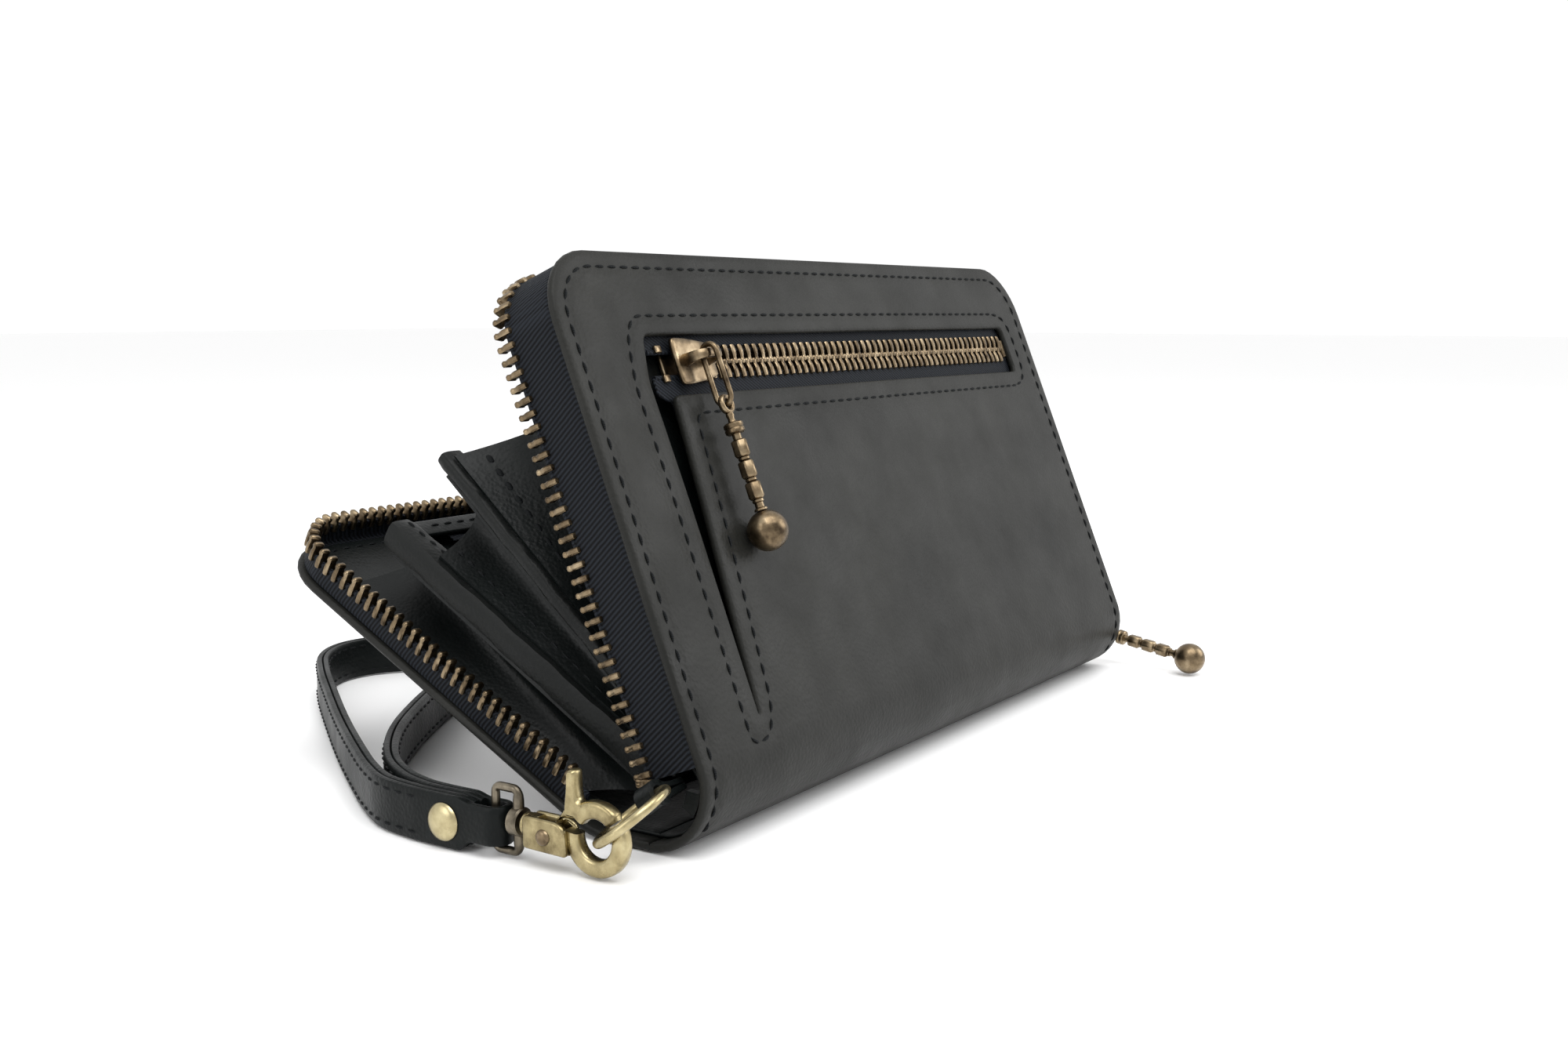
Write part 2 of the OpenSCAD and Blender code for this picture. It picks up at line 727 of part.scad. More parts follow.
module heel_leather() {
    color(charcoal) translate([-cover_w / 2, 0, 0]) {
        translate([0, spine_y0 + fold_gap, 0])
            cube([cover_w, spine_y1 - spine_y0 - fold_gap, leather_t]);
        translate([0, spine_y1, heel_r]) rotate([90, 0, 90]) rotate([0, 0, -90])
            linear_extrude(cover_w) arc_shape(heel_r - leather_t, heel_r, 90 - back_lean);
    }
}

module back_panel() {
    color(charcoal) in_back() plate(0, leather_t) cover_shape(heel_flat, back_h, 0);
}

module back_lining() {
    color(black) in_back() plate(tape_face, back_inner)
        cover_shape(heel_flat + 3, back_h, lining_in);
}

module back_zip_tape() {
    color(navy) in_back() rim_tape(back_h, heel_flat + 0.2, back_band);
}

module back_zip_teeth() {
    color(brass) in_back() rim_teeth(back_h, 6, back_band, 0.5);
}

// ---- ring and hook ----

module at_left_end() {
    translate([-cover_w / 2, 0, 0]) children();
}

module strap_ring() {
    color(bright_brass) at_left_end() translate(grip) rotate([grip_tilt, 0, 0])
        rotate([0, 0, grip_turn]) translate([-ring_r, 0, 0]) rotate([90, 0, 0])
            rotate_extrude($fn = 72) translate([ring_r, 0]) circle(d = ring_wire, $fn = 24);
}

// hook plane: x here runs along +Y of the wallet from the eye, y runs up
module in_hook() {
    at_left_end() translate([hook_x, hook_y, hook_z]) rotate([90, 0, 90]) children();
}

hook_outer = hook_hole_r + hook_rim;
gate_from = 38;
gate_to = 140;
slot_t = hook_t - 0.7;
block_t = hook_t + 1.8;
block_x0 = hook_outer - 1.2;
block_z0 = -3.8;
block_z1 = 2;
slot_x0 = block_x0 + 0.7;
slot_x1 = hook_pivot_l + 2;
slot_z0 = block_z0 + 0.5;

// the hook's rim from one angle to another, in the hook plane
module rim_sector(a0, a1) {
    rotate([0, 0, a0]) linear_extrude(hook_t, center = true)
        intersection() {
            difference() {
                circle(hook_outer, $fn = 64);
                circle(hook_hole_r, $fn = 64);
            }
            sector(a1 - a0, hook_outer);
        }
}

// wedge from angle 0 to sweep, up to half a turn or beyond it
module sector(sweep, r) {
    if (sweep <= 180) difference() {
        translate([-2 * r, 0]) square([4 * r, 2 * r]);
        rotate(sweep) translate([-3 * r, 0]) square([6 * r, 3 * r]);
    }
    else difference() {
        square(4 * r, center = true);
        rotate(sweep) sector(360 - sweep, 2 * r);
    }
}

// fixed claw, the block with its cheeks and the collar of the swivel
module hook_body() {
    color(bright_brass) in_hook() difference() {
        union() {
            rim_sector(gate_to + 3, 378);
            translate([block_x0, block_z0, -block_t / 2])
                cube([hook_end - block_x0, block_z1 - block_z0, block_t]);
            translate([hook_end - 0.1, -1.9, -1.9]) cube([0.9, 3.8, 3.8]);
        }
        // slot between the cheeks for the gate's root
        translate([slot_x0, slot_z0, -slot_t / 2])
            cube([slot_x1 - slot_x0, block_z1 - slot_z0 + 1, slot_t]);
        cylinder(r = hook_hole_r, h = 8, center = true);
        translate([hook_pivot_l, -1, 0]) cylinder(r = gate_pin_r + 0.02, h = 9, center = true);
        translate([hook_end - 1.7, -1.6, -1.7]) cube([0.9, 3.2, 3.4]);
        translate([hook_end - 2, 0, 0]) rotate([0, 90, 0]) cylinder(r = 0.95, h = 4);
    }
}

// gate: arc over the eye, thumb lever and root on its pivot
module hook_gate() {
    root_t = slot_t - 0.4;
    lap = hook_hole_r * 0.9;
    color(bright_brass) in_hook() difference() {
        union() {
            rim_sector(gate_from, gate_to);
            linear_extrude(root_t, center = true)
                polygon([[lap, 2.75], [slot_x0 + 0.25, 2.3], [slot_x0 + 0.3, 0.4],
                    [hook_pivot_l - 1, -2], [hook_pivot_l + 1, 0.1], [hook_pivot_l - 1.6, 1.8],
                    [6.6, 4.1], [3.6, 4.6]]);
            translate([hook_pivot_l, -1, 0]) cylinder(r = 1.55, h = root_t, center = true);
            linear_extrude(hook_t, center = true)
                polygon([[3.3, 2.9], [6.2, 3], [6.4, 4.4], [5.8, 10.8], [3.7, 11],
                    [3.5, 5.8], [2, 5.6]]);
        }
        cylinder(r = hook_hole_r, h = 8, center = true);
        translate([hook_pivot_l, -1, 0]) cylinder(r = gate_pin_r + 0.1, h = 9, center = true);
    }
}

module gate_pivot() {
    color(brass) in_hook() translate([hook_pivot_l, -1, 0]) {
        cylinder(r = gate_pin_r, h = block_t + 0.4, center = true);
        for (side = [0, 1]) mirror([0, 0, side]) translate([0, 0, block_t / 2 + 0.02])
            cylinder(r1 = 1.4, r2 = 1, h = 0.5);
    }
}

// small bent leaf that pushes the gate shut
module gate_spring() {
    color(gunmetal) in_hook() translate([slot_x0 + 0.6, slot_z0, 0])
        linear_extrude(slot_t - 0.4, center = true)
            polygon([[0, 0], [4.6, 0], [4.6, 0.2], [1.4, 0.2], [0.2, 1], [0, 0.8]]);
}

// bow that turns on the hook's pin and carries the strap
module swivel_bow() {
    color(gunmetal) in_hook() {
        difference() {
            translate([bow_y, 0, 0]) rotate([0, 90, 0]) cylinder(r = 2.5, h = 2.2);
            translate([bow_y - 1, 0, 0]) rotate([0, 90, 0]) cylinder(r = 1, h = 4);
        }
        for (side = [0, 1]) mirror([0, side, 0]) {
            translate([bow_y + 1.1, 2.2, 0]) rotate([-90, 0, 0])
                cylinder(d = bow_wire, h = bow_in - 2.2);
            translate([bow_y + 1.1, bow_in + 0.55, 0]) rotate([0, 90, 0])
                cylinder(d = bow_wire, h = 5.1);
            translate([bow_y + 1.1, bow_in + 0.2, 0]) sphere(d = bow_wire);
        }
        translate([bow_y + 6.2, -bow_in - 0.55, 0]) rotate([-90, 0, 0])
            cylinder(d = bow_wire, h = 2 * bow_in + 1.1);
    }
}

module swivel_pin() {
    color(gunmetal) in_hook() {
        translate([hook_end - 1.65, 0, 0]) rotate([0, 90, 0]) cylinder(r = 1.4, h = 0.8);
        translate([hook_end - 0.9, 0, 0]) rotate([0, 90, 0])
            cylinder(r = 0.9, h = bow_y + 2.5 - hook_end + 0.9);
        translate([bow_y + 2.35, 0, 0]) rotate([0, 90, 0]) cylinder(r = 1.7, h = 0.7);
    }
}

// ---- wrist strap ----

// smooth curve through the route's points, a few steps to each span
function spline(p0, p1, p2, p3, t) = 0.5 * (2 * p1 + (p2 - p0) * t
    + (2 * p0 - 5 * p1 + 4 * p2 - p3) * t * t + (3 * p1 - p0 - 3 * p2 + p3) * t * t * t);
route_n = len(strap_route);
route_steps = 4;
strap_curve = [for (i = [0 : route_n - 2], k = [0 : route_steps - 1])
    spline(strap_route[max(i - 1, 0)], strap_route[i], strap_route[i + 1],
        strap_route[min(i + 2, route_n - 1)], k / route_steps), strap_route[route_n - 1]];
curve_n = len(strap_curve);
function unit(v) = v / norm(v);
function side_at(i) = let (d = unit(strap_curve[min(i + 1, curve_n - 1)]
    - strap_curve[max(i - 1, 0)])) [-d[1], d[0]];
function offset_curve(o) = [for (i = [0 : curve_n - 1]) strap_curve[i] + o * side_at(i)];
function reversed(list) = [for (i = [len(list) - 1 : -1 : 0]) list[i]];

// strip between two offsets of the strap's curve; the hand loop lies on its right
module strap_strip(o0, o1) {
    polygon(concat(offset_curve(o0), reversed(offset_curve(o1))));
}

// both plies are narrower near the bow; the outer one turns round the bow's bar
module strap_outer_ply() {
    color(black) difference() {
        at_left_end() outer_ply_shape();
        at_rivet() cylinder(d = rivet_d, h = 20, center = true);
    }
}

module outer_ply_shape() {
    union() {
        linear_extrude(strap_w) strap_strip(0.02, ply_t);
        translate([0, 0, strap_z0]) linear_extrude(strap_end_w) difference() {
            union() {
                translate([hook_x, bar_y]) circle(strap_gap / 2 + ply_t, $fn = 48);
                translate([hook_x - strap_gap / 2 - ply_t, bar_y])
                    square([strap_gap + 2 * ply_t, strap_full_y + 0.5 - bar_y]);
            }
            translate([hook_x, bar_y]) circle(strap_gap / 2 + 0.02, $fn = 48);
            translate([hook_x - strap_gap / 2 - 0.02, bar_y])
                square([strap_gap + 0.04, strap_full_y + 2 - bar_y]);
        }
    }
}

module strap_inner_ply() {
    color(black) difference() {
        at_left_end() linear_extrude(strap_w) strap_strip(-ply_t, -0.02);
        at_rivet() cylinder(d = rivet_d, h = 20, center = true);
    }
}

rivet_out = strap_gap / 2 + ply_t + 0.1;

module at_rivet() {
    at_left_end() translate([hook_x, rivet_y, strap_w / 2]) rotate([0, 90, 0]) children();
}

module strap_rivet_cap() {
    color(bright_brass) at_rivet() translate([0, 0, -rivet_out - 1.1]) {
        translate([0, 0, 0.6]) cylinder(d = cap_d, h = 0.5, $fn = 48);
        cylinder(d1 = cap_d - 2, d2 = cap_d, h = 0.6, $fn = 48);
    }
}

module strap_rivet_post() {
    color(brass) at_rivet() {
        translate([0, 0, -rivet_out]) cylinder(d = rivet_d, h = 2 * rivet_out + EPS);
        translate([0, 0, rivet_out]) cylinder(d = cap_d, h = 0.6, $fn = 48);
    }
}

front_panel();
spine_leather();
spine_lining();
front_zip_tape();
front_zip_teeth();
pocket_tape_upper();
pocket_tape_lower();
pocket_teeth_upper();
pocket_teeth_lower();
pocket_zip_stops();
front_lining();
card_panel_lower();
card_panel_upper();
ring_tab();
pocket_slider();
pocket_pull_wire();
pocket_pendant();
main_slider();
main_pull_wire();
main_pendant();
divider_panel();
divider_ridge_left();
divider_ridge_right();
coin_back_panel();
coin_front_panel();
coin_top_band();
coin_ridge_left();
coin_ridge_right();
coin_zip_tapes();
coin_teeth_upper();
coin_teeth_lower();
coin_slider();
coin_pull();
gusset_left_front();
gusset_left_middle();
gusset_left_back();
gusset_right_front();
gusset_right_middle();
gusset_right_back();
spine_fold();
heel_leather();
back_panel();
back_lining();
back_zip_tape();
back_zip_teeth();
strap_ring();
hook_body();
hook_gate();
gate_pivot();
gate_spring();
swivel_bow();
swivel_pin();
strap_outer_ply();
strap_inner_ply();
strap_rivet_cap();
strap_rivet_post();
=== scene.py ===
"""Looks of the wristlet wallet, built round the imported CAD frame."""
import math

import bmesh
import bpy
import numpy as np
from mathutils import Matrix, Vector
from mathutils.geometry import delaunay_2d_cdt

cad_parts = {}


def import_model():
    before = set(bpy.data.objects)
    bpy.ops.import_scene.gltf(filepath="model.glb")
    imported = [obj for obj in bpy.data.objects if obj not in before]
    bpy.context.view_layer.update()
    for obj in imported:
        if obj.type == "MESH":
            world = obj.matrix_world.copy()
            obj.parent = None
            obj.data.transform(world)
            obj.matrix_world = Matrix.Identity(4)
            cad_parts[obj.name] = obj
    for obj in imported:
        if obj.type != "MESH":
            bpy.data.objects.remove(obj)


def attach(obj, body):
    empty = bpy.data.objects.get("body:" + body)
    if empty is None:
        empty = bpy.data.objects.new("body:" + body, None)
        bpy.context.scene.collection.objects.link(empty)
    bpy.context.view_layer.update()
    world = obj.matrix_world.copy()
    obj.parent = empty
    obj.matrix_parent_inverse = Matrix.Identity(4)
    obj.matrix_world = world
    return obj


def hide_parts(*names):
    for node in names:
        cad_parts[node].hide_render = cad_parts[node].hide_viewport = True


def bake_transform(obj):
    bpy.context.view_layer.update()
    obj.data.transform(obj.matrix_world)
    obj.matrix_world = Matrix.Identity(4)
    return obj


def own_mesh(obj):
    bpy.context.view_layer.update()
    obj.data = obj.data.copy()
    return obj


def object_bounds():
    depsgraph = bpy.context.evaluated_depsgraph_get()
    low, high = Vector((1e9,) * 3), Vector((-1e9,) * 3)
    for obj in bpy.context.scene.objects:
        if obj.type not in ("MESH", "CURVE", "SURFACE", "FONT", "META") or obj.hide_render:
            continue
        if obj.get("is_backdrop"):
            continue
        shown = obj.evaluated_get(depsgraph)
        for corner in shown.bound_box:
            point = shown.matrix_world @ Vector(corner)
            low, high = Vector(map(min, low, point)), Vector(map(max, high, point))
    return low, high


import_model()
cad_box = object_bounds()

MM = 0.001
COVER_W, COVER_H, BACK_H, CORNER_R = 183.0, 110.0, 91.366, 13.0
LEAN_F, LEAN_B = math.radians(21.9), math.radians(61.8)
LEAN_1, LEAN_2 = math.radians(48.4), math.radians(59.3)
FOOT_F, FOOT_B = -22.407, 8.669
FLAT_F, FLAT_B = 17.757, 4.019
SPINE_R, HEEL_R, SPINE_Y0, SPINE_Y1 = 12.0, 16.0, -4.65, 4.65
PIVOT_1, PIVOT_2 = (-7.336, 17.114), (-0.770, 13.073)
LEATHER_T, TAPE_T = 1.6, 0.6
PITCH = 2.5
CHAIN_HALF = 2.4
ZIP_W = 88.4
HOOK = (-14.5, -5.6, 6.5)
HOOK_IN, HOOK_OUT, HOOK_T = 3.4, 6.4, 2.6
LOOP_L, LOOP_R = 8.5, 1.65
PENDANT_L, PENDANT_BALL = 24.5, 7.7
POCKET_SLIDE_X, MAIN_SLIDE_W = 35, 18
BRIDGE_UP = 6


# ---- places, all in millimetres with x from the covers' left end ----

def world(x, y, z):
    return Vector(((x - COVER_W / 2) * MM, y * MM, z * MM))


def front(x, n, w):
    """On the front cover: n behind its face, w up it; below the flat it follows the spine."""
    if w >= FLAT_F:
        return world(x, FOOT_F + n * math.cos(LEAN_F) + w * math.sin(LEAN_F),
                     w * math.cos(LEAN_F) - n * math.sin(LEAN_F))
    phi = LEAN_F - (FLAT_F - w) / SPINE_R
    return world(x, SPINE_Y0 - (SPINE_R - n) * math.cos(phi),
                 SPINE_R + (SPINE_R - n) * math.sin(phi))


def back(x, n, w):
    """On the back cover: n inside its face, w up it; below the flat it follows the heel."""
    if w >= FLAT_B:
        return world(x, FOOT_B - n * math.cos(LEAN_B) + w * math.sin(LEAN_B),
                     w * math.cos(LEAN_B) + n * math.sin(LEAN_B))
    down = FLAT_B - w
    heel = HEEL_R * (math.pi / 2 - LEAN_B)
    if down < heel:
        psi = LEAN_B + down / HEEL_R
        return world(x, SPINE_Y1 + (HEEL_R - n) * math.cos(psi),
                     HEEL_R - (HEEL_R - n) * math.sin(psi))
    return world(x, SPINE_Y1 - (down - heel), n)


SPINE_FOOT = FLAT_F - SPINE_R * (LEAN_F + math.pi / 2)
HEEL_FOOT = FLAT_B - HEEL_R * (math.pi / 2 - LEAN_B) - (SPINE_Y1 - SPINE_Y0)


def divider(pivot, lean):
    def place(x, m, s):
        return world(x, pivot[0] + m * math.cos(lean) + s * math.sin(lean),
                     pivot[1] - m * math.sin(lean) + s * math.cos(lean))
    return place


divider_1 = divider(PIVOT_1, LEAN_1)
divider_2 = divider(PIVOT_2, LEAN_2)


def pocket_slider_at(x, y, z):
    return front(POCKET_SLIDE_X + x, 1.9 - z, ZIP_W + y)


def main_slider_at(x, y, z):
    return front(181.9 + z, 14.6 + y, MAIN_SLIDE_W - x)


PULL_DROOP = math.radians(46)


def main_pull_at(x, y, z):
    c, s = math.cos(PULL_DROOP), math.sin(PULL_DROOP)
    return main_slider_at(c * x - s * y, s * x + c * y, z + BRIDGE_UP)


COIN_MID, COIN_ZIP, COIN_SCALE = -0.82, 63.5, 0.6


def coin_slider_at(x, y, z):
    k = COIN_SCALE
    return divider_2(28 + k * x, COIN_MID - k * z, COIN_ZIP + k * y)


def hook_at(x, y, z):
    return world(HOOK[0] + z, HOOK[1] + x, HOOK[2] + y)


# ---- mesh tools ----

class Shape:
    def __init__(self):
        self.verts, self.faces = [], []

    def add(self, verts, faces):
        base = len(self.verts)
        self.verts += verts
        self.faces += [tuple(i + base for i in f) for f in faces]
        return self

    def loft(self, rings, closed=False):
        """Skin over rings with the same number of points; open ends are capped."""
        n = len(rings[0])
        verts = [p for ring in rings for p in ring]
        faces = []
        spans = len(rings) if closed else len(rings) - 1
        for i in range(spans):
            j = (i + 1) % len(rings)
            for k in range(n):
                m = (k + 1) % n
                faces.append((i * n + k, i * n + m, j * n + m, j * n + k))
        if not closed:
            faces.append(tuple(range(n)))
            faces.append(tuple((len(rings) - 1) * n + k for k in range(n)))
        return self.add(verts, faces)

    def tube(self, path, radius, up, closed=False, sides=14):
        """Round bar along points that lie in one plane, whose normal is up."""
        rings = []
        count = len(path)
        for i, p in enumerate(path):
            before = path[i - 1] if closed or i else p
            after = path[(i + 1) % count] if closed or i < count - 1 else p
            side = (after - before).normalized().cross(up).normalized()
            r = radius(i / (count - 1)) if callable(radius) else radius
            rings.append([p + r * MM * (math.cos(a) * side + math.sin(a) * up)
                          for a in turns(sides)])
        return self.loft(rings, closed)

    def lathe(self, place, profile, sides=32, lobes=0, lobe_depth=0.0):
        """Profile of (radius, height) turned about the local -y axis of place."""
        rings = []
        for r, h in profile:
            ring = []
            for a in turns(sides):
                rr = r * (1 - lobe_depth * (0.5 + 0.5 * math.cos(lobes * a)))
                ring.append(place(rr * math.cos(a), -h, rr * math.sin(a)))
            rings.append(ring)
        return self.loft(rings)


def clamp(v):
    return max(0.0, min(1.0, v))


def ease(v):
    t = clamp(v)
    return t * t * (3 - 2 * t)


def turns(count):
    return [2 * math.pi * k / count for k in range(count)]


def dome(r, h0, h1, steps=8):
    """Ball profile between two heights for a ball whose middle lies between them."""
    mid, half = (h0 + h1) / 2, (h1 - h0) / 2
    return [(max(r * math.sin(math.pi * k / steps), 0.02),
             mid - half * math.cos(math.pi * k / steps)) for k in range(steps + 1)]


def along(a, b, count):
    return [a + (b - a) * k / count for k in range(count)]


def densify(points, step, closed=True):
    out = []
    n = len(points)
    for i in range(n if closed else n - 1):
        a, b = np.array(points[i]), np.array(points[(i + 1) % n])
        count = max(1, int(round(np.linalg.norm(b - a) / step)))
        out += along(a, b, count)
    if not closed:
        out.append(np.array(points[-1]))
    return out


def rounded(points, r, steps=5):
    """Closed outline with each corner turned into a small curve."""
    out = []
    n = len(points)
    for i in range(n):
        p, a, b = (np.array(points[j % n], float) for j in (i, i - 1, i + 1))
        ra = min(r, np.linalg.norm(a - p) * 0.49)
        rb = min(r, np.linalg.norm(b - p) * 0.49)
        s = p + (a - p) / np.linalg.norm(a - p) * ra
        e = p + (b - p) / np.linalg.norm(b - p) * rb
        out += [(1 - t) ** 2 * s + 2 * t * (1 - t) * p + t * t * e
                for t in np.linspace(0, 1, steps)]
    return out


def box_outline(x0, w0, x1, w1, r):
    return rounded([(x0, w0), (x1, w0), (x1, w1), (x0, w1)], r)


def shifted(loop, d):
    """Loop moved by d to the left of its direction of travel."""
    pts = np.array(loop)
    tangent = np.roll(pts, -1, 0) - np.roll(pts, 1, 0)
    tangent /= np.maximum(np.linalg.norm(tangent, axis=1, keepdims=True), 1e-9)
    return pts + d * np.stack([-tangent[:, 1], tangent[:, 0]], 1)


def inside(points, loop):
    x, y = points[:, 0][:, None], points[:, 1][:, None]
    a, b = np.array(loop), np.roll(np.array(loop), -1, 0)
    crosses = (a[:, 1] > y) != (b[:, 1] > y)
    with np.errstate(divide="ignore", invalid="ignore"):
        at = (b[:, 0] - a[:, 0]) * (y - a[:, 1]) / (b[:, 1] - a[:, 1]) + a[:, 0]
    return (np.sum(crosses & (x < at), axis=1) % 2) == 1


def distance(points, path, closed=False):
    a = np.array(path)
    b = np.roll(a, -1, 0) if closed else a[1:]
    a = a if closed else a[:-1]
    ab = b - a
    length = np.maximum((ab ** 2).sum(1), 1e-12)
    rel = points[:, None, :] - a[None]
    t = np.clip((rel * ab[None]).sum(2) / length, 0, 1)
    return np.sqrt(((rel - t[..., None] * ab[None]) ** 2).sum(2)).min(1)


def panel(place, outer, holes=(), t=1.6, n0=0.0, edge=0.5, step=5.0, loop_step=2.5,
          bulge=None, grooves=(), groove_depth=0.25, shape=None):
    """Leather plate with rounded edges. Outer runs anticlockwise and holes clockwise.

    place(x, n, w) bends it into position, bulge(x, w) shifts both faces and the grooves are
    paths pressed into the n0 face."""
    loops = [np.array(densify(loop, loop_step)) for loop in (outer, *holes)]
    inner = [shifted(loop, edge) for loop in loops]
    points = [p for loop in inner for p in loop]
    edges, base = [], 0
    for loop in inner:
        edges += [(base + i, base + (i + 1) % len(loop)) for i in range(len(loop))]
        base += len(loop)
    lo, hi = loops[0].min(0), loops[0].max(0)
    xs = np.arange(lo[0] + step / 2, hi[0], step)
    ws = np.arange(lo[1] + step / 2, hi[1], step)
    grid = np.array([(x, w) for x in xs for w in ws]).reshape(-1, 2)
    for path in grooves:
        fine = np.array(densify(path, 1.6, False))
        tangent = np.gradient(fine, axis=0)
        tangent /= np.maximum(np.linalg.norm(tangent, axis=1, keepdims=True), 1e-9)
        side = np.stack([-tangent[:, 1], tangent[:, 0]], 1)
        if len(grid):
            grid = grid[distance(grid, fine) > 1.9]
        grid = np.concatenate([grid, fine, fine + 1.0 * side, fine - 1.0 * side])
    if len(grid):
        ok = inside(grid, inner[0]) & (distance(grid, inner[0], True) > 0.45)
        for loop in inner[1:]:
            ok &= ~inside(grid, loop) & (distance(grid, loop, True) > 0.45)
        grid = grid[ok]
    flat = [Vector((float(p[0]), float(p[1]))) for p in [*points, *grid]]
    verts2, _, tris, origin, _, _ = delaunay_2d_cdt(flat, edges, [], 0, 1e-4)
    verts2 = np.array([tuple(v) for v in verts2])
    at = {}
    for i, sources in enumerate(origin):
        for s in sources:
            at[s] = i
    middle = np.array([verts2[list(f)].mean(0) for f in tris])
    keep = inside(middle, inner[0])
    for loop in inner[1:]:
        keep &= ~inside(middle, loop)
    tris = [f for f, k in zip(tris, keep) if k]
    depth = np.zeros(len(verts2))
    for path in grooves:
        d = distance(verts2, np.array(densify(path, 1.6, False)))
        depth = np.maximum(depth, groove_depth * np.exp(-(d / 0.55) ** 2))
    bulge = bulge or (lambda x, w: 0.0)
    shape = shape or Shape()
    count = len(verts2)
    verts = [place(x, n0 + bulge(x, w) + dd, w) for (x, w), dd in zip(verts2, depth)]
    verts += [place(x, n0 + t + bulge(x, w), w) for x, w in verts2]
    faces = [tuple(f) for f in tris] + [tuple(i + count for i in reversed(f)) for f in tris]
    source = 0
    rings_n = 4
    for loop, ring0 in zip(loops, inner):
        rings = [[at[source + i] for i in range(len(loop))]]
        for k in range(1, rings_n + 1):
            phi = math.pi * k / (rings_n + 1)
            ring = shifted(loop, edge * (1 - math.sin(phi)))
            rings.append(list(range(len(verts), len(verts) + len(loop))))
            verts += [place(x, n0 + t / 2 - t / 2 * math.cos(phi) + bulge(x, w), w)
                      for x, w in ring]
        rings.append([at[source + i] + count for i in range(len(loop))])
        source += len(loop)
        for r0, r1 in zip(rings, rings[1:]):
            for i in range(len(loop)):
                j = (i + 1) % len(loop)
                faces.append((r0[i], r0[j], r1[j], r1[i]))
    return shape.add(verts, faces)


def stitches(place, path, n=0.0, sign=-1, length=2.5, gap=0.9, r=0.27, bulge=None,
             shape=None):
    """Row of thread stitches along a path, lying proud of the face at n."""
    shape = shape or Shape()
    bulge = bulge or (lambda x, w: 0.0)
    pts = np.array(densify(path, 0.5, False))
    seg = np.linalg.norm(np.diff(pts, axis=0), axis=1)
    s = np.concatenate([[0], np.cumsum(seg)])
    total = s[-1]
    count = max(1, int(total // (length + gap)))
    pitch = total / count
    for i in range(count):
        start = i * pitch + gap / 2
        rings = []
        for k in range(5):
            u = start + (pitch - gap) * k / 4
            x, w = np.interp(u, s, pts[:, 0]), np.interp(u, s, pts[:, 1])
            x2, w2 = np.interp(u + 0.1, s, pts[:, 0]), np.interp(u + 0.1, s, pts[:, 1])
            if u + 0.1 > total:
                x2, w2 = 2 * x - np.interp(u - 0.1, s, pts[:, 0]), \
                    2 * w - np.interp(u - 0.1, s, pts[:, 1])
            d = np.array([x2 - x, w2 - w])
            d /= max(np.linalg.norm(d), 1e-9)
            rr = (0.3, 0.9, 1.0, 0.9, 0.3)[k] * r
            lift = (-0.2, 0.03, 0.1, 0.03, -0.2)[k] * sign
            nn = n + bulge(x, w) + lift
            rings.append([place(x - d[1] * rr * math.cos(a), nn + sign * rr * math.sin(a),
                                w + d[0] * rr * math.cos(a)) for a in turns(7)])
        shape.loft(rings)
    return shape


def rim_stations(height, foot, step=2.0):
    """Points round a cover's three free sides with their inward normals, from left foot."""
    r = CORNER_R

    def corner(x, start):
        angles = [start - k / 8 * math.pi / 2 for k in range(9)]
        return [(x + r * math.cos(a), height - r + r * math.sin(a), -math.cos(a),
                 -math.sin(a)) for a in angles]
    out = [(0, w, 1, 0) for w in np.arange(foot, height - r, step)]
    out += corner(r, math.pi)
    out += [(x, height, 0, -1) for x in np.arange(r + step, COVER_W - r - step / 2, step)]
    out += corner(COVER_W - r, math.pi / 2)
    out += [(COVER_W, w, -1, 0) for w in np.arange(height - r - step, foot - 0.01, -step)]
    out[-1] = (COVER_W, foot, -1, 0)
    return out


def rim_path(height, foot, inset, step=2.0):
    return [(x + inset * nx, w + inset * nw) for x, w, nx, nw in
            rim_stations(height, foot, step)]


def outline(height, foot, inset):
    """Anticlockwise outline of a cover cut in by inset."""
    path = rim_path(height, foot, inset)
    return [(p[0], p[1]) for p in reversed(path)]


def rim_sweep(place, section, height, foot, wave=0.0):
    """Section of (inset, n) swept round a cover's free sides."""
    rings = []
    for i, (x, w, nx, nw) in enumerate(rim_stations(height, foot)):
        ring = []
        for inset, n in section:
            sway = wave * math.sin(i * 0.55) * math.sin(i * 0.13 + 1) * min(1, n / 8)
            ring.append(place(x + (inset + sway) * nx, n, w + (inset + sway) * nw))
        rings.append(ring)
    return Shape().loft(rings)


TOOTH = [(-1.0, 0.3, 0.85), (-0.9, 0.5, 1.05), (-0.5, 0.56, 1.14), (0.6, 0.57, 1.16),
         (1.2, 0.54, 1.12), (1.6, 0.46, 0.98), (2.0, 0.47, 0.98), (2.35, 0.56, 1.1),
         (2.75, 0.5, 1.0), (3.0, 0.28, 0.7)]


def tooth(shape, base, along_v, thick_v, out_v, scale=1.0):
    """One cast tooth: legs over the tape, a neck and a head, with chamfered corners."""
    rings = []
    for h, a, b in TOOTH:
        c = 0.24
        ring = [(-a, -b + c), (-a + c, -b), (a - c, -b), (a, -b + c), (a, b - c), (a - c, b),
                (-a + c, b), (-a, b - c)]
        rings.append([base + scale * MM * (p * along_v + q * thick_v + h * out_v)
                      for p, q in ring])
    shape.loft(rings)


def basis(place, x, n, w):
    """World axes of place's x, n and w at a point."""
    p = place(x, n, w)
    d = 0.02
    return (p, (place(x + d, n, w) - p).normalized(), (place(x, n + d, w) - p).normalized(),
            (place(x, n, w + d) - p).normalized())


